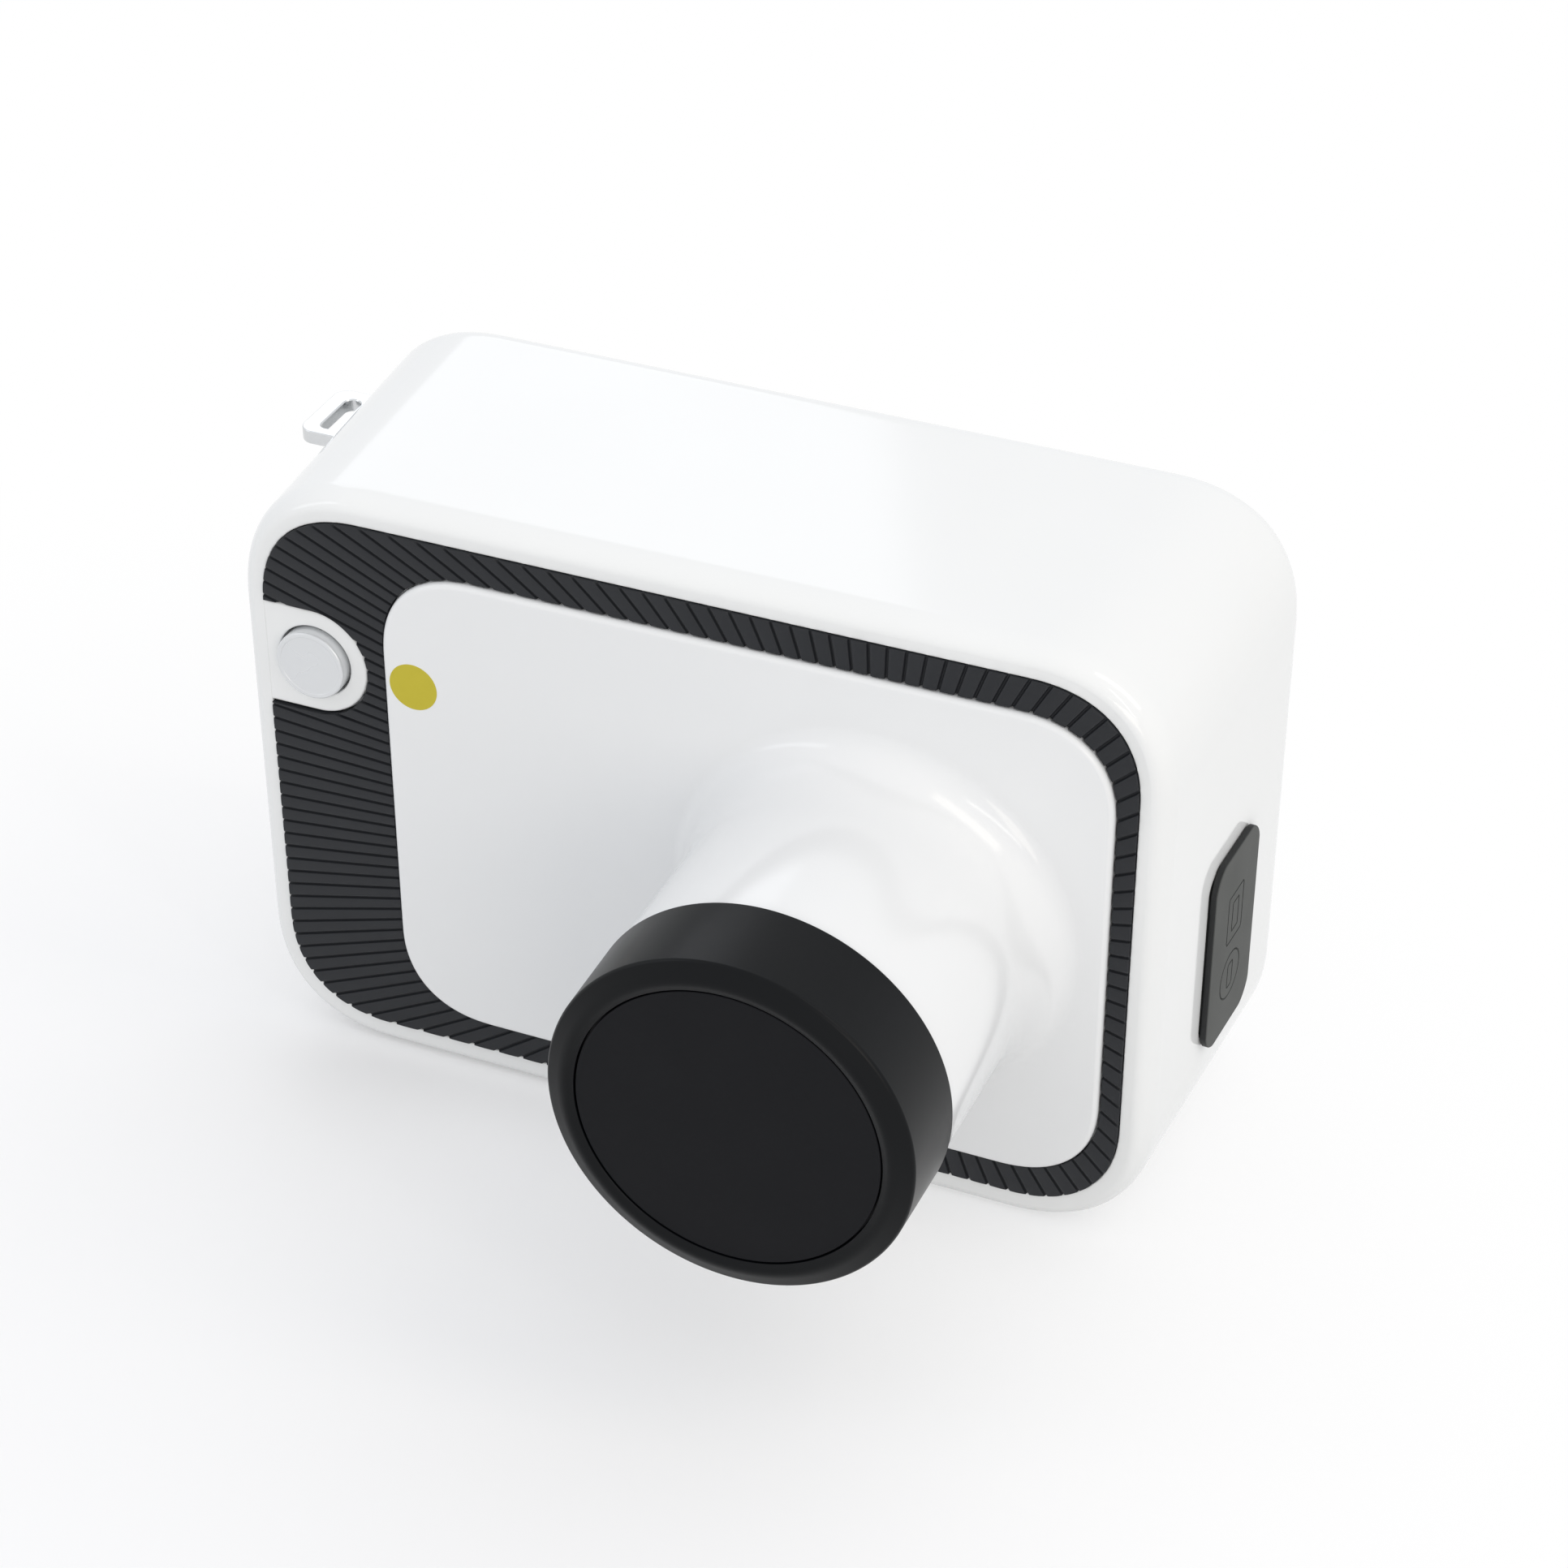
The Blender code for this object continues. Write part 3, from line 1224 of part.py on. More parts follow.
def strap_lug():
    """Machined lug: a slotted tab through the left wall and a leaf screwed to pads inside it."""
    surface = side_surface(LUG_DEPTH, lug_height())
    tip = surface + LUG_REACH
    inner = leaf_face() - LUG_THICKNESS
    width = tip - inner
    tab_outline = lug_outline(width)
    slot = round_rectangle(LUG_SLOT_WIDTH, LUG_SLOT_LENGTH, LUG_SLOT_WIDTH / 2 - CLEARANCE / 4)
    slot_x = -width / 2 + LUG_SLOT_RIM + LUG_SLOT_WIDTH / 2
    slot_outline = [(slot_x + x, y) for x, y in slot]
    middle = (-(tip + inner) / 2, at_depth(LUG_DEPTH), lug_height())
    lug = plate("strap_lug", [tab_outline, slot_outline], LUG_THICKNESS, middle, UPRIGHT, "aluminium")
    leaf_top = lug_height() + LUG_THICKNESS / 4
    leaf_height = LUG_LEAF_DROP + LUG_THICKNESS / 4
    leaf = block(
        "lug_leaf",
        (LUG_THICKNESS, LUG_LENGTH - 2 * CLEARANCE, leaf_height),
        (-(inner + LUG_THICKNESS / 2), at_depth(LUG_DEPTH), leaf_top - leaf_height / 2),
    )
    join(lug, leaf)
    for tag, side in (("front", -1), ("back", 1)):
        y = at_depth(LUG_DEPTH) + side * LUG_SCREW_SPACING / 2
        hole = SCREW_RADIUS + CLEARANCE
        place = (-inner, y, lug_screw_height())
        cut(lug, rod(f"lug_hole_{tag}", hole, 4 * LUG_THICKNESS, place, FACING_RIGHT))
        length = LUG_THICKNESS + CLEARANCE + lug_screw_bite() - SCREW_RADIUS - 2 * CLEARANCE
        screw(f"lug_screw_{tag}", length, (-inner + CLEARANCE, y, lug_screw_height()), FACING_RIGHT)
    return lug


def lug_outline(width):
    """Tab outline: square inside the housing, rounded at the two outer corners."""
    half = LUG_LENGTH / 2
    outer = -width / 2
    arc = corner_arc(LUG_CORNER, 4, power=2)
    points = [(width / 2, -half), (width / 2, half)]
    points += [(outer + LUG_CORNER - a, half - LUG_CORNER + b) for a, b in arc[::-1]]
    points += [(outer + LUG_CORNER - a, LUG_CORNER - half - b) for a, b in arc]
    return points


def tripod_insert():
    """Brass bush in the base, with a blind bore."""
    top = TRIPOD_HEIGHT + CLEARANCE
    profile = [
        (0, top),
        (TRIPOD_RADIUS, top),
        (TRIPOD_RADIUS, CLEARANCE),
        (TRIPOD_BORE, CLEARANCE),
        (TRIPOD_BORE, top - TRIPOD_WALL / 2),
        (0, top - TRIPOD_WALL / 2),
    ]
    turned("tripod_insert", profile, (0, TRIPOD_SETBACK, 0), UPRIGHT, "brass")


def tank_front():
    """Depth of the tank's front face."""
    return INNER_DEPTH + CLEARANCE


def tank_parts():
    """Oil tank with its lid, beam window and lead shield."""
    front = tank_front()
    middle = at_depth(front + TANK_DEPTH / 2)
    centre = (AXIS_X, middle, AXIS_Z)
    outline = [round_rectangle(TANK_WIDTH, TANK_HEIGHT, TANK_CORNER)]
    tank = plate("tank_body", outline, TANK_DEPTH, centre, FACING_FRONT, "aluminium")
    hollow = round_rectangle(TANK_WIDTH - 2 * TANK_WALL, TANK_HEIGHT - 2 * TANK_WALL, TANK_CORNER - TANK_WALL)
    hollow_place = (AXIS_X, middle + TANK_WALL + OVERRUN, AXIS_Z)
    cut(tank, plate("tank_hollow", [hollow], TANK_DEPTH + 2 * OVERRUN, hollow_place, FACING_FRONT))
    port_place_y = at_depth(front + TANK_WALL / 2)
    cut(tank, rod("tank_port", TANK_PORT, 2 * TANK_WALL, (AXIS_X, port_place_y, AXIS_Z), FACING_FRONT))
    window_place = (AXIS_X, port_place_y, AXIS_Z)
    rod("tank_window", TANK_PORT - CLEARANCE, TANK_WALL, window_place, FACING_FRONT, "dark_plastic")

    lid_front = front + TANK_DEPTH + CLEARANCE
    lid_place = (AXIS_X, at_depth(lid_front + TANK_LID / 2), AXIS_Z)
    lid = plate("tank_lid", outline, TANK_LID, lid_place, FACING_FRONT, "aluminium")
    for index, (x, z) in enumerate(board_corners()):
        length = TANK_LID / 2 + LID_POST_HEIGHT
        y = at_depth(lid_front + TANK_LID / 2 + length / 2)
        join(lid, rod(f"lid_post_{index}", BOARD_POST_RADIUS, length, (x, y, z), FACING_FRONT))

    shield_width = TANK_WIDTH - 2 * (TANK_WALL + CLEARANCE)
    shield_height = TANK_HEIGHT - 2 * (TANK_WALL + CLEARANCE)
    shield_front = front + TANK_WALL + CLEARANCE
    shield_depth = TANK_DEPTH - TANK_WALL - 2 * CLEARANCE
    corner = TANK_CORNER - TANK_WALL
    shield_middle = at_depth(shield_front + shield_depth / 2)
    shield = plate(
        "lead_shield",
        [round_rectangle(shield_width, shield_height, corner)],
        shield_depth,
        (AXIS_X, shield_middle, AXIS_Z),
        FACING_FRONT,
        "lead",
    )
    inside = round_rectangle(
        shield_width - 2 * SHIELD_THICKNESS, shield_height - 2 * SHIELD_THICKNESS, corner - SHIELD_THICKNESS
    )
    inside_place = (AXIS_X, shield_middle + SHIELD_THICKNESS + OVERRUN, AXIS_Z)
    cut(shield, plate("shield_hollow", [inside], shield_depth + 2 * OVERRUN, inside_place, FACING_FRONT))
    hole_place = (AXIS_X, at_depth(shield_front), AXIS_Z)
    cut(shield, rod("shield_port", APERTURE_RADIUS, 4 * SHIELD_THICKNESS, hole_place, FACING_FRONT))


def board_corners():
    """Places of the four posts that carry the main board."""
    across = MAIN_BOARD_WIDTH / 2 - 2 * BOARD_POST_RADIUS
    upward = MAIN_BOARD_HEIGHT / 2 - 2 * BOARD_POST_RADIUS
    return [(AXIS_X + i * across, AXIS_Z + k * upward) for i in (-1, 1) for k in (-1, 1)]


def shield_inside_back():
    """Depth of the tank lid's inner face."""
    return tank_front() + TANK_DEPTH + CLEARANCE


def tube_depth():
    """Depth of the x-ray tube's axis."""
    return shield_inside_back() - CLEARANCE - CRADLE_SINK - TUBE_RADIUS


def tube_parts():
    """Glass x-ray tube with its anode and cathode, in a cradle that stands on the tank's lid."""
    y = at_depth(tube_depth())
    half = TUBE_LENGTH / 2
    envelope = [
        (TUBE_RADIUS, half),
        (TUBE_RADIUS, -half),
        (TUBE_RADIUS - TUBE_WALL, -half),
        (TUBE_RADIUS - TUBE_WALL, half),
    ]
    turned("tube_envelope", envelope, (AXIS_X, y, AXIS_Z), UPRIGHT, "glass", ring=True)
    plug = TUBE_RADIUS - TUBE_WALL - CLEARANCE
    rim = TUBE_WALL * 2
    anode = [
        (0, half),
        (plug, half),
        (plug, half - rim),
        (ANODE_STEM_RADIUS, half - rim),
        (ANODE_STEM_RADIUS, half - ANODE_LENGTH / 2),
        (ANODE_RADIUS, half - ANODE_LENGTH / 2),
        (ANODE_RADIUS, half - ANODE_LENGTH),
        (0, half - ANODE_LENGTH),
    ]
    piece = turned("tube_anode", anode, (AXIS_X, y, AXIS_Z), UPRIGHT, "copper")
    bite = ANODE_RADIUS * 4
    tilt = math.atan2(ANODE_CUT_SHARE, 1)
    wedge_z = AXIS_Z + half - ANODE_LENGTH - bite / 2
    wedge_place = (AXIS_X, y - ANODE_RADIUS, wedge_z)
    cut(piece, block("anode_wedge", (bite, bite, bite), wedge_place, rotation=(-tilt, 0, 0)))
    cathode = [
        (0, CATHODE_LENGTH - CATHODE_CUP - half),
        (CATHODE_RADIUS / 2, CATHODE_LENGTH - CATHODE_CUP - half),
        (CATHODE_RADIUS / 2, CATHODE_LENGTH - half),
        (CATHODE_RADIUS, CATHODE_LENGTH - half),
        (CATHODE_RADIUS, CATHODE_LENGTH / 2 - half),
        (ANODE_STEM_RADIUS, CATHODE_LENGTH / 2 - half),
        (ANODE_STEM_RADIUS, rim - half),
        (plug, rim - half),
        (plug, -half),
        (0, -half),
    ]
    turned("tube_cathode", cathode, (AXIS_X, y, AXIS_Z), UPRIGHT, "steel")
    cradle_back = shield_inside_back() - CLEARANCE
    cradle_front = tube_depth() + TUBE_RADIUS / 4
    cradle_depth = cradle_back - cradle_front
    cradle = block(
        "tube_cradle",
        (CRADLE_WIDTH, cradle_depth, CRADLE_HEIGHT),
        (AXIS_X, at_depth(cradle_front + cradle_depth / 2), AXIS_Z),
        "dark_plastic",
    )
    cut(cradle, rod("cradle_seat", TUBE_RADIUS + CLEARANCE, 2 * CRADLE_HEIGHT, (AXIS_X, y, AXIS_Z), UPRIGHT))


def high_voltage_parts():
    """Transformer and multiplier board that stand on the tank's lid beside the tube."""
    back = shield_inside_back() - CLEARANCE
    x = AXIS_X - SHIELD_INSIDE + CLEARANCE + TRANSFORMER_WIDTH / 2
    depth = TANK_DEPTH / 2
    y = at_depth(back - depth / 2)
    core = block("hv_transformer", (TRANSFORMER_WIDTH, depth, TRANSFORMER_HEIGHT), (x, y, AXIS_Z), "copper")
    window_height = TRANSFORMER_HEIGHT - 2 * TRANSFORMER_COIL
    notch = (TRANSFORMER_WIDTH, TRANSFORMER_COIL, window_height)
    for tag, side in (("front", -1), ("back", 1)):
        cut_y = y + side * depth / 2
        cut(core, block(f"core_notch_{tag}", (notch[0] * 2, notch[1], notch[2]), (x, cut_y, AXIS_Z)))
    board_x = AXIS_X + SHIELD_INSIDE - CLEARANCE - MULTIPLIER_PART - BOARD_THICKNESS / 2
    board_size = (BOARD_THICKNESS, depth, MULTIPLIER_HEIGHT)
    board = block("hv_multiplier", board_size, (board_x, y, AXIS_Z), "board_green")
    for index in range(MULTIPLIER_COUNT):
        z = AXIS_Z + (index - (MULTIPLIER_COUNT - 1) / 2) * MULTIPLIER_HEIGHT / MULTIPLIER_COUNT
        centre = (board_x + MULTIPLIER_PART / 2, y, z)
        part = rod(f"multiplier_part_{index}", MULTIPLIER_PART / 2, MULTIPLIER_PART, centre, FACING_RIGHT)
        join(board, part)


def main_board():
    """Controller board behind the tank, with its chips, connector and buzzer."""
    face = tank_front() + TANK_DEPTH + CLEARANCE + TANK_LID + LID_POST_HEIGHT + CLEARANCE
    y = at_depth(face + BOARD_THICKNESS / 2)
    back = y + BOARD_THICKNESS / 2
    board_size = (MAIN_BOARD_WIDTH, BOARD_THICKNESS, MAIN_BOARD_HEIGHT)
    board = block("main_board", board_size, (AXIS_X, y, AXIS_Z), "board_green")
    chip_size = (CHIP_SIZE, CHIP_HEIGHT * 2, CHIP_SIZE)
    join(board, block("main_chip", chip_size, (AXIS_X, back, AXIS_Z)))
    driver_place = (AXIS_X - MAIN_BOARD_WIDTH / 4, back, AXIS_Z + MAIN_BOARD_HEIGHT / 4)
    join(board, block("driver_chip", chip_size, driver_place))
    connector_size = (CONNECTOR_LENGTH, CONNECTOR_HEIGHT * 2, CONNECTOR_WIDTH)
    connector_place = (AXIS_X, back, AXIS_Z - MAIN_BOARD_HEIGHT / 2 + 2 * CONNECTOR_WIDTH)
    join(board, block("board_connector", connector_size, connector_place))
    buzzer_x = AXIS_X + MAIN_BOARD_WIDTH / 4
    buzzer_z = AXIS_Z + MAIN_BOARD_HEIGHT / 4
    buzzer_y = back + CLEARANCE + BUZZER_HEIGHT / 2
    rod("buzzer", BUZZER_RADIUS, BUZZER_HEIGHT, (buzzer_x, buzzer_y, buzzer_z), FACING_BACK, "dark_plastic")


def battery():
    """Four-cell pack against the front wall, held by a bent bracket."""
    front = INNER_DEPTH + CLEARANCE
    size = 4 * CELL_RADIUS
    x = BATTERY_LENGTH / 2 - BATTERY_LEFT
    z = BATTERY_BASE + size / 2
    y = at_depth(front + size / 2)
    plate(
        "battery_pack",
        [scalloped_square(size, CELL_RADIUS)],
        BATTERY_LENGTH,
        (x, y, z),
        FACING_SIDE,
        "battery_wrap",
    )
    half = size / 2 + CLEARANCE
    over = half + BRACKET_THICKNESS
    wing = over + BRACKET_FLANGE
    foot = BRACKET_THICKNESS - size / 2
    outline = [
        (-size / 2, wing),
        (-size / 2, half),
        (half, half),
        (half, -half),
        (-size / 2, -half),
        (-size / 2, -wing),
        (foot, -wing),
        (foot, -over),
        (over, -over),
        (over, over),
        (foot, over),
        (foot, wing),
    ]
    plate("battery_bracket", [outline], BRACKET_LENGTH, (x, y, z), FACING_SIDE, "steel")


def scalloped_square(size, radius, steps=5):
    """Shrink-wrapped outline of four round cells: round corners and a shallow dip between cells."""
    half = size / 2
    dip = radius / 6
    arc = corner_arc(radius, steps, power=2)
    corner = half - radius
    quadrant = [(corner + a, corner + b) for a, b in arc]
    points = quadrant + [(0, half - dip)]
    points += [(-a, b) for a, b in quadrant[::-1]] + [(dip - half, 0)]
    points += [(-a, -b) for a, b in quadrant] + [(0, dip - half)]
    points += [(a, -b) for a, b in quadrant[::-1]] + [(half - dip, 0)]
    return points


clear_scene()
PIECES = new_collection("dental_xray_unit")
TOOLS = new_collection("cutters")
PORT_FRAME = port_place()
main_housing()
grip_band()
front_panel()
collimator_ring()
exit_window()
beam_parts()
exposure_button()
rear_cover()
back_screws()
display_parts()
keypad()
port_cover()
port_parts()
strap_lug()
tripod_insert()
tank_parts()
tube_parts()
high_voltage_parts()
main_board()
battery()
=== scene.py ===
"""Handheld dental x-ray unit in its real finishes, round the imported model.

Metres, +Z up, +X to the viewer's right, +Y to the rear. Depths are counted rearwards from the
flat front face of the housing. Every new piece is a grid of points worked out with numpy.
"""
import math

import bmesh
import bpy
import numpy as np
from mathutils import Matrix, Vector


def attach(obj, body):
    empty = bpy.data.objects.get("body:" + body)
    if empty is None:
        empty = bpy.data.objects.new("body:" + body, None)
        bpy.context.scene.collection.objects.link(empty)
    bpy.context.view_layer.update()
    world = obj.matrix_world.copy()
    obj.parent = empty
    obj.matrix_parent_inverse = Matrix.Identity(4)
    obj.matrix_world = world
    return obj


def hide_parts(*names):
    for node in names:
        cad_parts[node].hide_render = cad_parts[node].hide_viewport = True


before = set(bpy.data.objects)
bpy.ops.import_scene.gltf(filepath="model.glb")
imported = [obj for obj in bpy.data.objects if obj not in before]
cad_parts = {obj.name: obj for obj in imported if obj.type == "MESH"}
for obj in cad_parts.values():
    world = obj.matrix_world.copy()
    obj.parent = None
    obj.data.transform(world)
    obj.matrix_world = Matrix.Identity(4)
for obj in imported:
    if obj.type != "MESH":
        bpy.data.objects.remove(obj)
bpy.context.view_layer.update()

FORWARD, REARWARD, RIGHTWARD, UPWARD = (0, -1, 0), (0, 1, 0), (1, 0, 0), (0, 0, 1)

# Housing
FRONT_Y = -0.0340
HOUSING_WIDTH = 0.1764
HOUSING_HEIGHT = 0.1212
HOUSING_DEPTH = 0.0680
BACK_Y = FRONT_Y + HOUSING_DEPTH
SIDE_SPREAD = 0.0034
TOP_RISE = 0.0014
WALL = 0.0025
CORNER_POWER = 2.35
OUTER_REACH = 0.0259
LIP_ROUNDING = 0.0029
LIP_ROUNDING_DEPTH = 0.0056
LIP_EDGE = 0.00022
SIDE_DEPTHS = (0.0061, 0.0066, 0.020, 0.040, 0.0607, 0.0612)
BACK_ROUNDING = 0.0060
BACK_RIM = 0.0012
LEDGE_WIDTH = 0.0028
POCKET_DEPTH = 0.0015
INNER_DEPTH = 0.0040
CLEARANCE = 0.0003
RUNNING_GAP = 0.0004
# Where the cutters of holes start and stop, from the surface inwards and from the inside out
FRONT_HOLE = (-0.0020, 0.0080)
BACK_HOLE = (-0.0050, 0.0020)
BEAM_OPENING = 0.0233

# Grip band and front panel, as left, right, bottom, top and corner reach
BAND = (-0.0830, 0.0830, 0.0060, 0.1160, 0.0207)
BAND_RISE = 0.0005
BAND_CROWN = 0.00006
BAND_EDGE = 0.00016
BAND_GAP = 0.0001
GROOVE_DEPTH = 0.00060
GROOVE_WIDTH = 0.00070
GROOVE_PITCHES = (0.00347, 0.00288)
GROOVE_REACHES = (0.060, 0.105)
PANEL = (-0.0588, 0.0794, 0.0123, 0.1097, 0.0186)
PANEL_RISE = 0.0015
PANEL_ROUNDING = 0.0010

# Cone, ring and exit window on their common axis
AXIS_X = 0.0363
AXIS_Z = 0.0610
CONE_RADIUS = 0.0322
CONE_BORE = 0.0275
CONE_LENGTH = 0.0480
CONE_DEPTHS = (-0.0180, -0.0300, -0.0400)
FLARE_SPREAD = 0.0066
FLARE_LENGTH = 0.0150
FLARE_GUARD = 0.0008
SPIGOT_RADIUS = 0.0300
SPIGOT_LENGTH = 0.0120
RING_RADIUS = 0.0328
RING_TAPER = 0.00015
RING_LENGTH = 0.0182
RING_SHOULDER = 0.0015
RING_CREST = 0.0017
WINDOW_RADIUS = 0.0272
WINDOW_LAP = 0.0016
WINDOW_THICKNESS = 0.0011
WINDOW_SINK = 0.0008

# Exposure button in its lobe, and the yellow dot
LOBE_X = -0.0737
LOBE_Z = 0.0855
LOBE_RADIUS = 0.01075
LOBE_EDGE = 0.0005
LOBE_HOLE_EDGE = 0.0003
# Left end and depths of the cutter that makes room for the lobe in the band
LOBE_CUT = (-0.0890, -0.0030, 0.0040)
BUTTON_RADIUS = 0.0069
BUTTON_RISE = 0.0020
BUTTON_RIM = 0.0010
BUTTON_DISH = 0.0001
# Width and thickness of the flange, radius and length of the stem
BUTTON_FLANGE = (0.0015, 0.0012)
BUTTON_STEM = (0.0022, 0.0065)
DOT_X = -0.0528
DOT_Z = 0.0860
DOT_RADIUS = 0.00475
DOT_THICKNESS = 0.00006

# Port cover, in the frame of the right wall; the flap as front, rear, bottom, top and reach
PORT_PLACE = (0.08992, 0.0004, 0.0468)
PORT_AXES = np.array(Matrix.Rotation(-math.atan2(SIDE_SPREAD, HOUSING_DEPTH), 3, "Z"))
PORT_LENGTH = 0.0233
PORT_HEIGHT = 0.0410
PORT_OVERLAP = 0.0025
PORT_HOLE = (-0.0060, 0.0030)
PORT_FLAP = (-0.0090, 0.0129, -0.0207, 0.0195, 0.0045)
PORT_SEAT = 0.0001
PORT_THICKNESS = 0.0013
PORT_EDGE = 0.00022
PORT_FALL = 0.00008
PLUG_GAP = 0.0007
PLUG_WALL = 0.0016
PLUG_STEPS = (0.0010, -0.0012, -0.0015)
MARK_WIDTH = 0.00034
# Line marks on the flap: along, up, width, height, corner, steps in the corner and along a side
PORT_MARKS = (
    (0.0013, -0.0084, 0.00960, 0.00960, 0.004752, 16, 2),
    (0.0013, -0.0084, 0.00240, 0.00528, 0.000576, 4, 4),
    (0.0018, 0.0050, 0.00740, 0.01040, 0.000600, 4, 6),
    (0.0018, 0.0050, 0.00296, 0.00624, 0.000400, 4, 4),
)

# Strap lug on the left wall; the slot as left, right, front, rear and corner reach
LUG_Z = 0.1071
LUG_DEPTH = 0.0475
LUG_LENGTH = 0.0172
LUG_THICKNESS = 0.0027
LUG_TIP = -0.0971
LUG_ROOT = -0.0780
LUG_OUTSIDE = -0.1000
LUG_CORNER = 0.0029
LUG_EDGE = 0.00025
LUG_GAP = 0.00012
LUG_SLOT = (-0.0938, -0.0905, -0.0063, 0.0056, 0.001617)
LEAF_DROP = 0.0152
LEAF_CORNER = 0.0004
LEAF_SCREWS = (-0.0055, 0.0055)
LEAF_SCREW_DEPTH = 0.0490
LEAF_SCREW_Z = 0.0963
LEAF_HOLE = (-0.0820, -0.0740)
FAIRING_RISE = 0.0018
FAIRING_SINK = 0.0006
FAIRING_RUN = 0.0040
FAIRING_TAIL = 0.0052
FAIRING_BELOW = 0.0038
FAIRING_ABOVE = 0.0003

# Back: the glass as left, right, bottom, top and corner reach
GLASS = (-0.0310, 0.0550, 0.0320, 0.0940, 0.0040)
GLASS_THICKNESS = 0.0010
GLASS_EDGE = 0.0002
SCREEN_BORDER = 0.0050
PLATE_EDGE = 0.0005
KEY_X = -0.0590
KEY_HEIGHTS = {"key_power": 0.08775, "key_up": 0.07125, "key_down": 0.05475, "key_mode": 0.03825}
KEY_RADIUS = 0.0048
KEY_RISE = 0.0010
# Width and thickness of the flange, radius of the stem and the depth of its end
KEY_FLANGE = (0.0012, 0.0010)
KEY_STEM = (0.0016, 0.0064)
MARK_REACH = 0.0019
MARK_STROKE = 0.00040
MARK_SINK = 0.0006
MARK_RISE = 0.00046
SCREW_PLACES = {
    f"rear_screw_{level}_{side}": (x, z)
    for level, z in (("low", 0.0160), ("high", 0.1052))
    for side, x in (("left", -0.0620), ("right", 0.0620))
}
SCREW_RECESS = 0.0035
HEAD_RADIUS = 0.0027
HEAD_HEIGHT = 0.0016
HEAD_EDGE = 0.0005
SHANK_RADIUS = 0.0013
SCREW_LENGTH = 0.0090
SOCKET_SIZE = 0.0011
SOCKET_DEPTH = 0.0010
SOCKET_EDGE = 0.00012

# Tripod bush
TRIPOD_Y = 0.0150
TRIPOD_RADIUS = 0.0050
TRIPOD_BORE = 0.0032
TRIPOD_HEIGHT = 0.0090
TRIPOD_FLOOR = 0.0011
THREAD_PITCH = 0.00127
THREAD_DEPTH = 0.0004

# Finishes: colour, roughness, size and depth of the relief, colour and size of the soft clouds,
# other shader values
METAL = {"Metallic": 1.0}
SHEEN = "Specular IOR Level"
FINISHES = {
    # Gloss white and pale grey ABS from a polished mould, whose waviness softens reflections
    "white_abs": ("#f1f2f2", 0.10, 0.0040, 2e-6, "#eeefef", 0.030, {"IOR": 1.53}),
    "panel_abs": ("#f0f1f2", 0.12, 0.0040, 1e-6, "#eeeff0", 0.030, {SHEEN: 0.48}),
    # Moulded rubber with a fine matt grain, and textured silicone rubber
    "charcoal_rubber": ("#212327", 0.54, 0.00035, 10e-6, "#1d1f23", 0.006, {SHEEN: 0.34}),
    "silicone_rubber": ("#424442", 0.58, 0.00030, 18e-6, "", 0, {"IOR": 1.43}),
    # Black anodised aluminium, bead blasted, and black polycarbonate with a fine matt texture
    "black_ring": ("#06080b", 0.32, 0.00030, 2e-6, "#07090c", 0.010, {SHEEN: 0.16}),
    "exit_plastic": ("#0d0e12", 0.48, 0.00040, 8e-6, "#0b0c10", 0.008, {SHEEN: 0.13}),
    # Silver lacquer on ABS under a clear coat
    "silver_paint": ("#dddfe1", 0.27, 0, 0, "#dbdddf", 0.030,
                     {"Metallic": 0.35, "Coat Weight": 0.5, "Coat Roughness": 0.20}),
    # Inks on the panel and on the keys
    "yellow_print": ("#c9bb38", 0.42, 0.00030, 3e-6, "#c3b533", 0.002, {SHEEN: 0.3}),
    "white_print": ("#e6e8e9", 0.45, 0.00030, 3e-6, "#dfe1e2", 0.001, {"IOR": 1.5}),
    # Milled, rolled and turned metals with faint tool marks
    "polished_aluminium": ("#dcddde", 0.24, 0.00025, 3e-6, "#cfd1d2", 0.002, METAL),
    "bright_steel": ("#b9babc", 0.28, 0.00020, 3e-6, "#adafb1", 0.001, METAL),
    "turned_brass": ("#c8a45c", 0.30, 0.00020, 3e-6, "#b99552", 0.001, METAL),
    # Grey ABS with a spark texture, and the cover glass, as dark as its printed border
    "key_plastic": ("#7b8083", 0.42, 0.00022, 10e-6, "#74797c", 0.003, {"IOR": 1.53}),
    "black_glass": ("#050507", 0.05, 0.0300, 2e-6, "", 0, {"IOR": 1.52}),
    # Inside
    "dark_abs": ("#2b2d30", 0.50, 0.00030, 10e-6, "#26282b", 0.004, {"IOR": 1.53}),
    "board_green": ("#1d5a3c", 0.42, 0.0012, 15e-6, "#2a6e4a", 0.0012, {"IOR": 1.55}),
    "blue_film": ("#2c5f9c", 0.34, 0.0040, 20e-6, "#28568d", 0.006, {"IOR": 1.54}),
    "cast_aluminium": ("#c4c6c8", 0.38, 0.00050, 12e-6, "#b6b9bb", 0.002, METAL),
    "copper_coil": ("#b96f4a", 0.36, 0.00030, 20e-6, "#a86342", 0.0010, METAL),
    "soft_lead": ("#73777c", 0.58, 0.0010, 20e-6, "#686c71", 0.003, METAL),
    "sheet_steel": ("#b4b6b8", 0.32, 0.00030, 4e-6, "#a8abad", 0.002, METAL),
    "yellow_brass": ("#c3a05a", 0.32, 0.00030, 4e-6, "#b69453", 0.002, METAL),
    "clear_glass": ("#e4edef", 0.05, 0.0200, 3e-6, "#dde8ea", 0.010,
                    {"IOR": 1.47, "Transmission Weight": 0.9}),
}
WHITE = ("white_abs", "white_shell")
# Painted shade for the port flap's rim, the faces that don't look outwards
RIM_SHADE_COLOUR = "#1b1d1e"
SCREEN_COLOUR = "#1d2226"
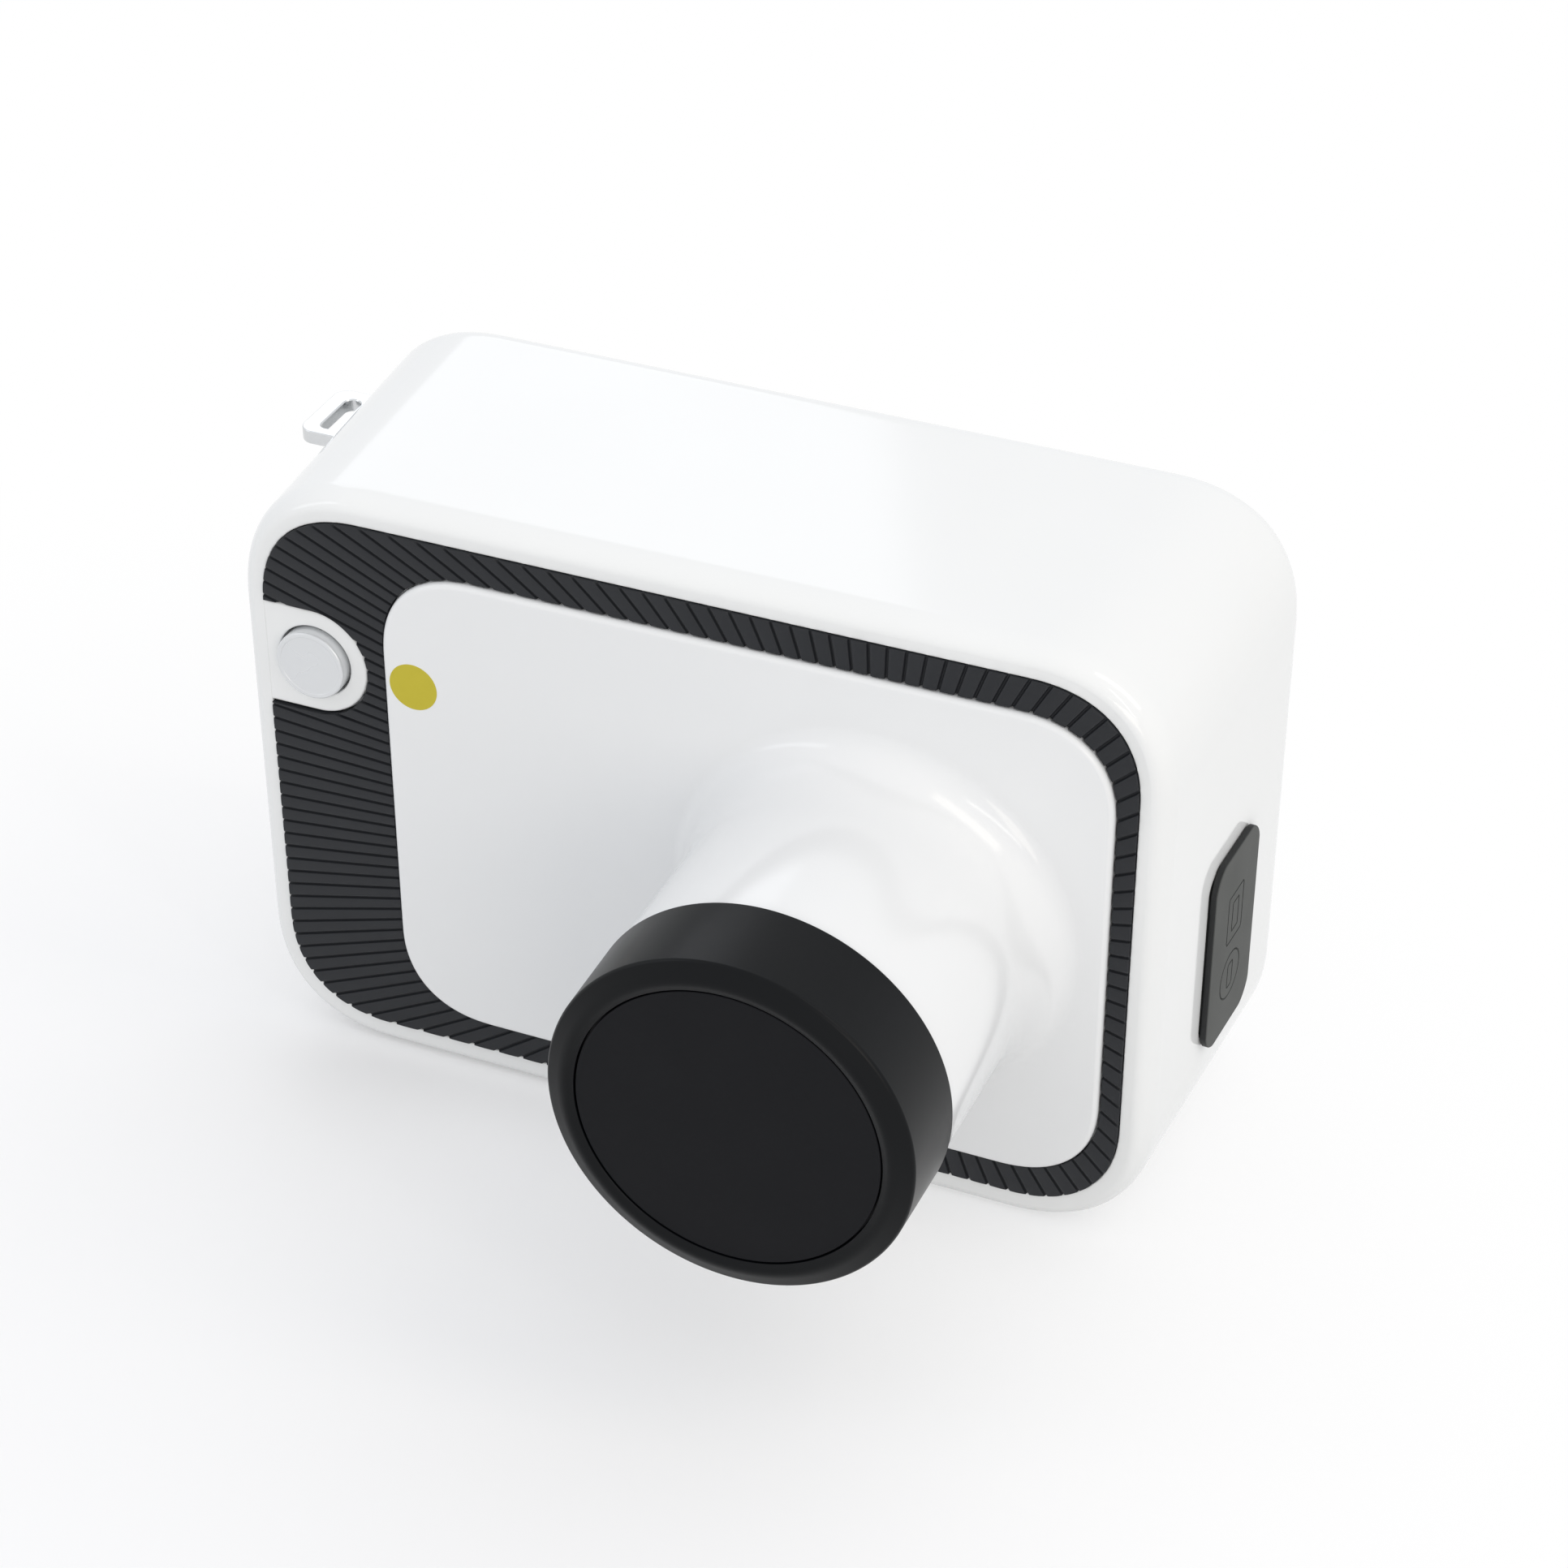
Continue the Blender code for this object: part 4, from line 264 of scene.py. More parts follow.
HIDDEN_NODES = {
    "dark_abs": ("button_switch", "tube_cradle", "buzzer", "display_module", "tank_window"),
    "board_green": ("button_board", "keypad_board", "port_board", "main_board", "hv_multiplier"),
    "blue_film": ("battery_pack",),
    "cast_aluminium": ("tank_body", "tank_lid", "beam_filter"),
    "copper_coil": ("tube_anode", "hv_transformer"),
    "soft_lead": ("cone_liner", "lead_shield"),
    "sheet_steel": ("battery_bracket", "tube_cathode", "lug_screw_front", "lug_screw_back"),
    "yellow_brass": ("collimator_diaphragm",),
    "clear_glass": ("tube_envelope",),
}

# Softboxes: azimuth from rear to right, elevation, distance, width, height, radiance, colour
SOFTBOXES = {
    "box_behind": (-34, 31, 1.30, 0.52, 0.42, 0.85, "#f4f8ff"),
    "box_right": (88, 50, 1.10, 0.20, 0.80, 2.4, "#fff5e6"),
    "strip_right": (124, 34, 1.20, 0.10, 0.70, 3.2, "#fffcf6"),
    "strip_left": (-118, 32, 1.20, 0.20, 0.70, 1.6, "#f6faff"),
    "box_front_right": (144, 14, 1.30, 0.60, 0.42, 2.2, "#fff5e6"),
}
SOFTBOX_AIM = (0, 0, 0.06)
# Surroundings: strength for diffuse light away from and towards a point high on the right, and for
# all that the camera and the mirrors see
SURROUND = (0.80, 0.91)
SURROUND_SEEN = 1.03
BRIGHT_SIDE = (0.30, -0.15, 0.94)
# Floor: its colour in the light it throws back and to the camera, which also sees a share of plain
# white glow, painted light that grows with the distance from a spot in front of the unit
FLOOR_HALF = 5.0
FLOOR_COLOURS = ("#dadbdc", "#fafafb")
FLOOR_GLOW = (0.12, 1.00)
GLOW_REACH = (0.06, 0.32)
GLOW_SPOT = (-0.08, -0.15, 0.0)


def at_depth(depth):
    return FRONT_Y + depth


def points(x, y, z):
    """Arrays of coordinates as one array of points."""
    return np.stack(np.broadcast_arrays(x, y, z), axis=-1)


def lofted(rings, closed=False):
    """Skin over rings of the same number of points each; closed joins the last to the first."""
    rings = np.asarray(rings, float)
    rows, columns = rings.shape[:2]
    row, column = np.arange(rows if closed else rows - 1), np.arange(columns)
    i, j = (part.ravel() for part in np.meshgrid(row, column, indexing="ij"))
    next_i, next_j = (i + 1) % rows, (j + 1) % columns
    corners = ((i, j), (i, next_j), (next_i, next_j), (next_i, j))
    return rings.reshape(-1, 3), np.stack([a * columns + b for a, b in corners], axis=1)


def shrunk(ring, share):
    """A ring drawn towards its own middle by a share."""
    middle = ring.mean(axis=0)
    return middle + (ring - middle) * share


def capped(rings, shares=(0,)):
    """Skin over rings whose ends close to their middles, over inner rings at the given shares."""
    start, end = ([shrunk(ring, share) for share in shares] for ring in (rings[0], rings[-1]))
    return lofted([*start, *rings, *end[::-1]])


def together(*skins):
    """Several skins as one list of points and one of faces."""
    corners, faces = zip(*skins)
    starts = np.cumsum([0, *map(len, corners[:-1])])
    return np.vstack(corners), np.vstack([face + start for face, start in zip(faces, starts)])


def soft_corners(profile, reach, steps=5):
    """Closed 2D profile whose corners are parabolas c + (1-t)^2 a + t^2 b, where a and b are the
    corner's reach along its two edges. A guard point beyond each end keeps the flat faces flat to
    the eye."""
    corner = np.asarray(profile, float)
    reach = np.broadcast_to(reach, len(corner)).astype(float)[:, None]

    def along(other):
        step = other - corner
        length = np.maximum(np.linalg.norm(step, axis=1, keepdims=True), 1e-9)
        return (step / length * np.minimum(reach, length * 0.45))[:, None]

    back, ahead = along(np.roll(corner, 1, axis=0)), along(np.roll(corner, -1, axis=0))
    corner = corner[:, None]
    t = np.linspace(0, 1, steps + 1)[None, :, None]
    bend = corner + (1 - t) ** 2 * back + t**2 * ahead
    rounded = np.concatenate((corner + back * 1.1, bend, corner + ahead * 1.1), axis=1)
    return rounded.reshape(-1, 2)


def turned(profile, centre, direction, steps=128, bend=5):
    """A closed profile swept round a direction. Each corner of the profile is a radius, a height
    and, where it is rounded, its reach."""
    corner = np.array([(*point, 0)[:3] for point in profile], float)
    radius, height = soft_corners(corner[:, :2], corner[:, 2], bend).T
    axis = Vector(direction).normalized()
    across = axis.orthogonal().normalized()
    upward = axis.cross(across)
    turn = np.linspace(0, 2 * math.pi, steps, endpoint=False)
    spoke = np.outer(np.cos(turn), across) + np.outer(np.sin(turn), upward)
    rings = radius[:, None, None] * spoke + height[:, None, None] * np.array(axis)
    return lofted(rings + centre, closed=True)


def soft_rectangle(box, grow=0.0, power=CORNER_POWER, corner=28, side=12):
    """Anticlockwise rows of (x, z) round a box of left, right, bottom, top and corner reach, which
    grows on all sides; a corner is |a|^power + |b|^power = reach^power."""
    left, right, bottom, top, reach = np.array(box) + grow * np.array((-1, 1, -1, 1, 1))
    turn = np.linspace(0, math.pi / 2, corner + 1)
    a, b = reach * np.cos(turn) ** (2 / power), reach * np.sin(turn) ** (2 / power)
    arcs = (
        (right - reach + a, top - reach + b),
        (left + reach - a[::-1], top - reach + b[::-1]),
        (left + reach - a, bottom + reach - b),
        (right - reach + a[::-1], bottom + reach - b[::-1]),
    )
    arcs = [np.stack(arc, axis=1) for arc in arcs]
    share = np.linspace(0, 1, side + 1)[1:-1, None]
    sides = [one[-1] + (two[0] - one[-1]) * share for one, two in zip(arcs, arcs[1:] + arcs[:1])]
    return np.vstack([part for pair in zip(arcs, sides) for part in pair])


def centred(width, height, reach, **steps):
    """A rectangle with round corners about the origin."""
    box = (-width / 2, width / 2, -height / 2, height / 2, reach)
    return soft_rectangle(box, power=2, **steps)


def at_y(outline, depth):
    """An (x, z) outline stood up at a depth."""
    return np.insert(np.asarray(outline, float), 1, at_depth(depth), axis=1)


def half_and_top(depth):
    """Half width and height of the housing, which widens and rises to the rear."""
    share = depth / HOUSING_DEPTH
    return HOUSING_WIDTH / 2 + SIDE_SPREAD * share, HOUSING_HEIGHT + TOP_RISE * share


def housing_ring(depth, inset):
    """The housing's section at a depth, drawn in by an inset."""
    half, top = half_and_top(depth)
    return at_y(soft_rectangle((-half, half, 0, top, OUTER_REACH), -inset), depth)


def pocket_ring(depth, grow):
    return at_y(soft_rectangle(BAND, grow + CLEARANCE), depth)


def polar_reach(outline):
    """Distance of a closed outline from the cone's axis as a function of the direction."""
    closed = np.vstack((outline, outline[:1])) - (AXIS_X, AXIS_Z)
    share = np.linspace(0, 1, 24, endpoint=False)[:, None]
    dense = (closed[:-1, None] + (closed[1:] - closed[:-1])[:, None] * share).reshape(-1, 2)
    turn = np.arctan2(dense[:, 1], dense[:, 0])
    order = np.argsort(turn)
    turns = np.concatenate([turn[order] + lap for lap in (-2 * math.pi, 0, 2 * math.pi)])
    reaches = np.tile(np.hypot(dense[:, 0], dense[:, 1])[order], 3)
    return lambda direction: np.interp(direction, turns, reaches)


def polar_points(direction, reach, depth):
    """Points at a direction and reach from the cone's axis."""
    return points(AXIS_X + reach * np.cos(direction), at_depth(depth),
                  AXIS_Z + reach * np.sin(direction))


def quarter(steps):
    """Pairs (1 - sine, 1 - cosine) over a quarter turn, from (1, 0) to (0, 1), for a rounding.

    A guard ring beyond it, at 1.06 to 1.5 times its size, keeps the face beside it flat.
    """
    turn = np.linspace(0, math.pi / 2, steps + 1)
    return list(zip(1 - np.sin(turn), 1 - np.cos(turn)))


def added(name, data):
    """An object in the scene for a mesh, a lamp or a lens."""
    item = bpy.data.objects.new(name, data)
    bpy.context.scene.collection.objects.link(item)
    return item


def mesh_of(name, skin):
    """A skin as a mesh, with its seams and poles merged and its faces turned outwards."""
    mesh = bpy.data.meshes.new(name)
    mesh.from_pydata(skin[0], [], skin[1])
    shape = bmesh.new()
    shape.from_mesh(mesh)
    bmesh.ops.remove_doubles(shape, verts=shape.verts, dist=1e-7)
    bmesh.ops.dissolve_degenerate(shape, edges=shape.edges, dist=1e-8)
    bmesh.ops.recalc_face_normals(shape, faces=shape.faces)
    shape.to_mesh(mesh)
    shape.free()
    return mesh


def make_piece(name, skin, look, slot, body="unit", stands_for=(), sharp=32):
    """A piece of the unit that rides on its body and stands for the CAD nodes named."""
    item = added(name, mesh_of(name, skin))
    dress(item, look, body, stands_for, sharp)
    return item


def dress(item, look, body, stands_for, sharp):
    item.data.materials.clear()
    item.data.materials.append(finish(look))
    smooth(item, sharp)
    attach(item, body)
    if stands_for:
        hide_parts(*stands_for)


def smooth(item, sharp):
    """Smooth shading with sharp edges past an angle in degrees."""
    item.data.shade_smooth()
    item.data.set_sharp_from_angle(angle=math.radians(sharp))


def carve(item, *skins, sharp=32):
    """Cut holes, each given as a closed skin, out of a piece for good."""
    for index, skin in enumerate(skins):
        tool = added(f"hole_{index}", mesh_of(f"hole_{index}", skin))
        step = item.modifiers.new("Hole", "BOOLEAN")
        step.operation, step.solver, step.object = "DIFFERENCE", "EXACT", tool
        bpy.context.view_layer.update()
        view = item.evaluated_get(bpy.context.evaluated_depsgraph_get())
        result = bpy.data.meshes.new_from_object(view)
        item.modifiers.clear()
        old, item.data = item.data, result
        result.name = item.name
        bpy.data.objects.remove(tool)
        bpy.data.meshes.remove(old)
    smooth(item, sharp)


def bar(radius, near, far, centre, direction, steps=96):
    """A plain cylinder from one height to another along a direction, for a hole."""
    return turned([(0, near), (radius, near), (radius, far), (0, far)], centre, direction, steps)


def slab(outline, near, far):
    """A flat prism between two depths over an (x, z) outline."""
    return capped([at_y(outline, near), at_y(outline, far)])


def out_ring(outline, out):
    """An (along, up) outline at a distance out from the right wall."""
    return np.insert(outline, 0, out, axis=1)


def in_port_frame(skin):
    """A skin given as out, along and up from the middle of the port cover's seat."""
    corners, faces = skin
    return corners @ PORT_AXES.T + PORT_PLACE, faces


def port_opening(inset, reach, **steps):
    """Outline of the opening under the port cover, drawn in by an inset."""
    lap = 2 * (PORT_OVERLAP + inset)
    return centred(PORT_LENGTH - lap, PORT_HEIGHT - lap, reach, **steps)


def stadium(radius, left):
    """The lobe's outline: square at the left, half round at the right."""
    turn = np.linspace(-math.pi / 2, math.pi / 2, 65)
    arc = np.stack((LOBE_X + radius * np.cos(turn), LOBE_Z + radius * np.sin(turn)), axis=1)
    share = np.linspace(0, 1, 13)[:, None]
    low_left, high_left = np.array((left, LOBE_Z - radius)), np.array((left, LOBE_Z + radius))
    return np.vstack((low_left + (arc[0] - low_left) * share[:-1], arc,
                      arc[-1] + (high_left - arc[-1]) * share[1:],
                      high_left + (low_left - high_left) * share[1:-1]))


def housing():
    """One closed skin: front wall, pocket, lip, its elliptical rounding, sides, back rounding,
    rebate for the back plate, and the inner walls."""
    rim = BACK_ROUNDING + BACK_RIM
    ledge = HOUSING_DEPTH - WALL - CLEARANCE
    rings = [pocket_ring(POCKET_DEPTH, 0), pocket_ring(LIP_EDGE * 1.5, 0)]
    rings += [pocket_ring(LIP_EDGE * a, LIP_EDGE * b) for a, b in quarter(3)]
    rings += [pocket_ring(0, LIP_EDGE * 1.5), housing_ring(0, LIP_ROUNDING * 1.06)]
    rings += [housing_ring(LIP_ROUNDING_DEPTH * b, LIP_ROUNDING * a) for a, b in quarter(12)]
    rings += [housing_ring(depth, 0) for depth in SIDE_DEPTHS]
    rings += [housing_ring(HOUSING_DEPTH - BACK_ROUNDING * a, BACK_ROUNDING * b)
              for a, b in quarter(12)]
    rings += [housing_ring(HOUSING_DEPTH - drop, rim - inset) for drop, inset in
              ((0, 0.0004), (0, 0.0003), (0.0001, 0.0001), (0.0003, 0), (0.0004, 0))]
    rings += [housing_ring(depth, inset) for depth, inset in
              ((ledge, rim), (ledge, rim + LEDGE_WIDTH), (ledge - WALL, rim + LEDGE_WIDTH),
               (ledge - 2 * WALL, WALL), (INNER_DEPTH, WALL))]
    item = make_piece("white_shell", capped(rings, (0, 0.5, 0.9)), *WHITE, "unit", ["main_housing"])
    opening = port_opening(0, PORT_FLAP[4] - PORT_OVERLAP / 2)
    carve(
        item,
        bar(BUTTON_RADIUS + RUNNING_GAP, *FRONT_HOLE, (LOBE_X, FRONT_Y, LOBE_Z), REARWARD),
        bar(BEAM_OPENING, *FRONT_HOLE, (AXIS_X, FRONT_Y, AXIS_Z), REARWARD),
        in_port_frame(capped([out_ring(opening, out) for out in PORT_HOLE])),
        bar(TRIPOD_RADIUS + CLEARANCE, *FRONT_HOLE, (0, TRIPOD_Y, 0), UPWARD),
        lug_opening(),
    )


def lug_opening():
    """The slot in the wall that the lug comes through, as a closed skin."""
    half = LUG_THICKNESS / 2 + LUG_GAP
    reach = LUG_LENGTH / 2 + LUG_GAP
    box = (LUG_OUTSIDE, LUG_ROOT, LUG_Z - half, LUG_Z + half, CLEARANCE)
    return slab(soft_rectangle(box, 0, 2, 2, 2), LUG_DEPTH - reach, LUG_DEPTH + reach)


def lobe():
    """Half-round lobe flush with the lip: rings from the button's hole to the stadium outline,
    whose left end butts against the lip."""
    left = BAND[0] - CLEARANCE
    middle = np.array((LOBE_X, LOBE_Z))
    spoke = stadium(LOBE_RADIUS, left) - middle
    spoke /= np.linalg.norm(spoke, axis=1, keepdims=True)

    def hole_ring(grow, depth):
        return at_y(spoke * (BUTTON_RADIUS + RUNNING_GAP + grow) + middle, depth)

    def outer_ring(inset, depth):
        return at_y(stadium(LOBE_RADIUS - inset, left), depth)

    edge = LOBE_HOLE_EDGE
    rings = [hole_ring(0, POCKET_DEPTH), hole_ring(0, edge * 1.5)]
    rings += [hole_ring(edge * b, edge * a) for a, b in quarter(5)]
    rings += [hole_ring(edge * 1.4, 0), outer_ring(LOBE_EDGE * 1.4, 0)]
    rings += [outer_ring(LOBE_EDGE * a, LOBE_EDGE * b) for a, b in quarter(5)]
    rings += [outer_ring(0, LOBE_EDGE * 1.4), outer_ring(0, POCKET_DEPTH)]
    make_piece("button_lobe", lofted(rings, closed=True), *WHITE)


def side_surface(depth, height):
    """Half width of the housing at a depth and height, on its corner where that is higher."""
    half, top = half_and_top(depth)
    climb = np.clip((height - (top - OUTER_REACH)) / OUTER_REACH, 0, 1)
    return half - OUTER_REACH + OUTER_REACH * (1 - climb**CORNER_POWER) ** (1 / CORNER_POWER)


def lug_fairing():
    """Swelling of the left wall round the lug: the wall's surface plus a rise with a ramp at the
    front and a longer one at the rear."""
    start = LUG_DEPTH - LUG_LENGTH / 2 - CLEARANCE - FAIRING_RUN
    stop = LUG_DEPTH + LUG_LENGTH / 2 + CLEARANCE + FAIRING_TAIL
    depth = np.linspace(start, stop, 81)[:, None]
    lift = np.linspace(-1, 1, 33)[None, :]
    height = LUG_Z + np.where(lift < 0, lift * FAIRING_BELOW, lift * FAIRING_ABOVE)

    def ramp(share):
        share = np.clip(share, 0, 1)
        return share * share * (3 - 2 * share)

    along = np.minimum(ramp((depth - start) / (FAIRING_RUN * 0.9)),
                       ramp((stop - depth) / (FAIRING_TAIL * 0.9)))
    across = (1 - np.abs(lift) ** 5) ** 0.5
    surface = side_surface(depth, height)
    outer = surface - FAIRING_SINK + (FAIRING_RISE + FAIRING_SINK) * along * across
    inner = surface - 2.2 * FAIRING_SINK
    front, back = (points(-half, at_depth(depth), height) for half in (outer, inner))
    rings = np.concatenate((front, back[:, ::-1]), axis=1)
    item = make_piece("lug_fairing", capped(rings), *WHITE)
    carve(item, lug_opening(), sharp=40)


def lug_plate():
    """Milled lug: rings from the slot over the top, the rounded rim and the underside back to the
    slot, and a leaf inside the wall that two screws hold."""
    half, side, edge = LUG_THICKNESS / 2, LUG_LENGTH / 2, LUG_EDGE
    tab = (LUG_TIP, LUG_ROOT, -side, side, LUG_CORNER)

    def ring(box, grow, height):
        x, y = soft_rectangle(box, grow, 2, 12, 6).T
        return points(x, at_depth(LUG_DEPTH) + y, LUG_Z + height)

    rings = [ring(LUG_SLOT, grow, height) for grow, height in
             ((0, -half + edge), (0, half - edge * 1.1), (0, half - edge), (edge, half),
              (edge * 1.1, half))]
    rings.append(ring(tab, -edge * 1.3, half))
    rings += [ring(tab, -edge * a, half - edge * b) for a, b in quarter(4)]
    rings.append(ring(tab, 0, -half + edge * 1.3))
    rings += [ring(tab, -edge * b, -half + edge * a) for a, b in quarter(4)]
    rings += [ring(tab, -edge * 1.3, -half), ring(LUG_SLOT, edge * 1.1, -half),
              ring(LUG_SLOT, edge, -half)]
    leaf = (LUG_ROOT - LUG_THICKNESS, LUG_ROOT, LUG_Z - LEAF_DROP, LUG_Z, LEAF_CORNER)
    reach = side - CLEARANCE
    skin = together(lofted(rings, closed=True), slab(soft_rectangle(leaf, 0, 2, 3, 4),
                                                     LUG_DEPTH - reach, LUG_DEPTH + reach))
    item = make_piece("lug_plate", skin, "polished_aluminium", "lug_metal",
                      stands_for=["strap_lug"])
    holes = [bar(SHANK_RADIUS + CLEARANCE, *LEAF_HOLE,
                 (0, at_depth(LEAF_SCREW_DEPTH) + y, LEAF_SCREW_Z), RIGHTWARD, 48)
             for y in LEAF_SCREWS]
    carve(item, *holes, sharp=35)


def groove_directions():
    """Directions of the grooves: the pitch across a rib runs evenly from near to far."""
    turn = np.linspace(-math.pi, math.pi, 4001)
    reach = polar_reach(soft_rectangle(BAND))(turn)
    density = reach / np.interp(reach, GROOVE_REACHES, GROOVE_PITCHES)
    total = np.concatenate(([0], np.cumsum((density[1:] + density[:-1]) / 2 * np.diff(turn))))
    count = round(total[-1])
    return np.interp((np.arange(count) + 0.5) * total[-1] / count, total, turn)


def grip_band():
    """Ribbed band as a grid of lines that point at the cone's axis, and of steps from the panel to
    the lip. V grooves with round floors and shoulders part the slightly crowned ribs."""
    directions = groove_directions()
    following = np.append(directions[1:], directions[0] + 2 * math.pi)
    outer = polar_reach(soft_rectangle(BAND, CLEARANCE - BAND_GAP))
    inner = polar_reach(soft_rectangle(PANEL, CLEARANCE))
    half = GROOVE_WIDTH / 2
    away = half * np.array((0, 0.50, 0.74, 0.89, 1.0))
    floor = GROOVE_DEPTH * np.array((1.0, 0.96, 0.48, 0.08, 0.0))
    crown = np.linspace(0, 1, 7)[1:-1]
    side = np.concatenate((np.zeros(5), crown, np.ones(4)))
    offset = np.concatenate((away, np.zeros(5), -away[:0:-1]))
    sunk = np.concatenate((floor, -BAND_CROWN * 4 * crown * (1 - crown), floor[:0:-1]))
    out = np.array((0, 0, 0.3, 1, 1.6)) * BAND_EDGE
    drop = np.array((1, 0.5, 0.12, 0, 0)) * BAND_EDGE

    rows = []
    steps = [(0, d, o) for d, o in zip(drop, out)] + [(share, 0, 0) for share in (0.25, 0.5, 0.75)]
    steps += [(1, d, -o) for d, o in zip(drop[::-1], out[::-1])]
    for share, extra, shift in steps:
        def reach_at(direction):
            near, far = inner(direction), outer(direction)
            return near + (far - near) * share + shift

        aside = np.where(side == 0, offset, half) / reach_at(directions)[:, None]
        aside_next = np.where(side == 1, offset, -half) / reach_at(following)[:, None]
        start, end = directions[:, None] + aside, following[:, None] + aside_next
        direction = (start + (end - start) * side).reshape(-1)
        depth = np.tile(sunk, len(directions)) - BAND_RISE + extra
        rows.append(polar_points(direction, reach_at(direction), depth))
    first, last = rows[0].copy(), rows[-1].copy()
    first[:, 1] = last[:, 1] = at_depth(POCKET_DEPTH - CLEARANCE)
    item = make_piece("ribbed_band", lofted([first, *rows, last], closed=True), "charcoal_rubber",
                      "grip_rubber", stands_for=["grip_band"])
    left, front, rear = LOBE_CUT
    carve(item, slab(stadium(LOBE_RADIUS + CLEARANCE, left), front, rear), sharp=70)


def front_panel():
    """Panel and cone as one skin of rings round the axis: rounded edge, flat face, concave
    quarter-ellipse flare, cone, spigot, bore and back."""
    turn = np.linspace(-math.pi, math.pi, 720, endpoint=False)

    def edge_ring(depth, inset):
        return polar_points(turn, polar_reach(soft_rectangle(PANEL, -inset))(turn), depth)

    back = POCKET_DEPTH - CLEARANCE
    face = -PANEL_RISE
    foot = CONE_RADIUS + FLARE_SPREAD
    rings = [edge_ring(back, 0.0003), edge_ring(back - 0.0003, 0),
             edge_ring(face + PANEL_ROUNDING * 1.15, 0)]
    rings += [edge_ring(face + PANEL_ROUNDING * a, PANEL_ROUNDING * b) for a, b in quarter(8)]
    start = edge_ring(face, PANEL_ROUNDING * 1.2)
    stop = polar_points(turn, foot + FLARE_GUARD, face)
    rings += [start + (stop - start) * share for share in (0, 0.35, 0.7, 1)]
    end = -CONE_LENGTH + CLEARANCE
    tip = -CONE_LENGTH - SPIGOT_LENGTH
    stations = [(foot - FLARE_SPREAD * (1 - a), face - FLARE_LENGTH * b) for a, b in quarter(24)]
    stations += [(CONE_RADIUS, depth) for depth in (*CONE_DEPTHS, end + 0.0006, end + 0.0003)]
    stations += [(CONE_RADIUS - 0.0001, end + 0.0001), (CONE_RADIUS - 0.0003, end),
                 (SPIGOT_RADIUS, end), (SPIGOT_RADIUS, tip), (CONE_BORE, tip), (CONE_BORE, back)]
    rings += [polar_points(turn, radius, depth) for radius, depth in stations]
    make_piece("panel_with_cone", lofted(rings, closed=True), "panel_abs", "panel_grey",
               stands_for=["front_panel"])


def collimator_ring():
    """Turned ring: a soft crest, from which a shoulder falls outwards to the crisp edge of a satin
    barrel, and inside it the socket for the spigot and the disc's ledge."""
    seat = WINDOW_RADIUS + CLEARANCE
    ledge = RING_LENGTH - WINDOW_SINK - WINDOW_THICKNESS - CLEARANCE
    socket = SPIGOT_RADIUS + CLEARANCE
    floor = SPIGOT_LENGTH + CLEARANCE
    edge = RING_LENGTH - RING_SHOULDER
    profile = [
        (seat + RING_CREST, RING_LENGTH, 0.0012), (RING_RADIUS - 0.0003, edge, 0.00022),
        (RING_RADIUS, edge - 0.0004, 0.00022), (RING_RADIUS + RING_TAPER, 0, 0.0003),
        (socket, 0, 0.0002), (socket, floor), (WINDOW_RADIUS - WINDOW_LAP, floor),
        (WINDOW_RADIUS - WINDOW_LAP, ledge), (seat, ledge),
        (seat, RING_LENGTH - WINDOW_SINK + 0.0001, 0.00015),
    ]
    skin = turned(profile, (AXIS_X, at_depth(-CONE_LENGTH), AXIS_Z), FORWARD, 288, 6)
    make_piece("ring_barrel", skin, "black_ring", "ring_black", stands_for=["collimator_ring"],
               sharp=40)


def exit_disc():
    """Flat disc, almost flush, with a fine rounded edge."""
    front = CONE_LENGTH + RING_LENGTH - WINDOW_SINK
    back = front - WINDOW_THICKNESS
    profile = [(0, back), (WINDOW_RADIUS, back, 0.0001), (WINDOW_RADIUS, front, 0.0002), (0, front)]
    skin = turned(profile, (AXIS_X, FRONT_Y, AXIS_Z), FORWARD, 256)
    make_piece("exit_disc", skin, "exit_plastic", "window_black", stands_for=["exit_window"])


def button_cap():
    """Silver cap: flat face in a thin rounded rim, straight side, flange and stem inside."""
    flange = -(INNER_DEPTH + CLEARANCE)
    (width, thick), (stem, length) = BUTTON_FLANGE, BUTTON_STEM
    rim = BUTTON_RADIUS - BUTTON_RIM
    face = BUTTON_RISE - BUTTON_DISH
    profile = [(rim * share, face) for share in (0, 0.2, 0.5, 0.8)]
    profile += [
        (rim, face, 0.0003), (rim + BUTTON_DISH, BUTTON_RISE, 0.0001),
        (BUTTON_RADIUS, BUTTON_RISE, 0.0006), (BUTTON_RADIUS, flange),
        (BUTTON_RADIUS + width, flange), (BUTTON_RADIUS + width, flange - thick),
        (stem, flange - thick), (stem, flange - thick - length, 0.0002),
        (0, flange - thick - length),
    ]
    skin = turned(profile, (LOBE_X, FRONT_Y, LOBE_Z), FORWARD)
    make_piece("button_cap", skin, "silver_paint", "button_silver", "exposure_button",
               ["exposure_button"])


def yellow_dot():
    low, high = PANEL_RISE - DOT_THICKNESS, PANEL_RISE + DOT_THICKNESS
    profile = [(0, low), (DOT_RADIUS, low), (DOT_RADIUS, high, DOT_THICKNESS), (0, high)]
    skin = turned(profile, (DOT_X, FRONT_Y, DOT_Z), FORWARD, 96)
    make_piece("yellow_dot", skin, "yellow_print", "panel_grey")


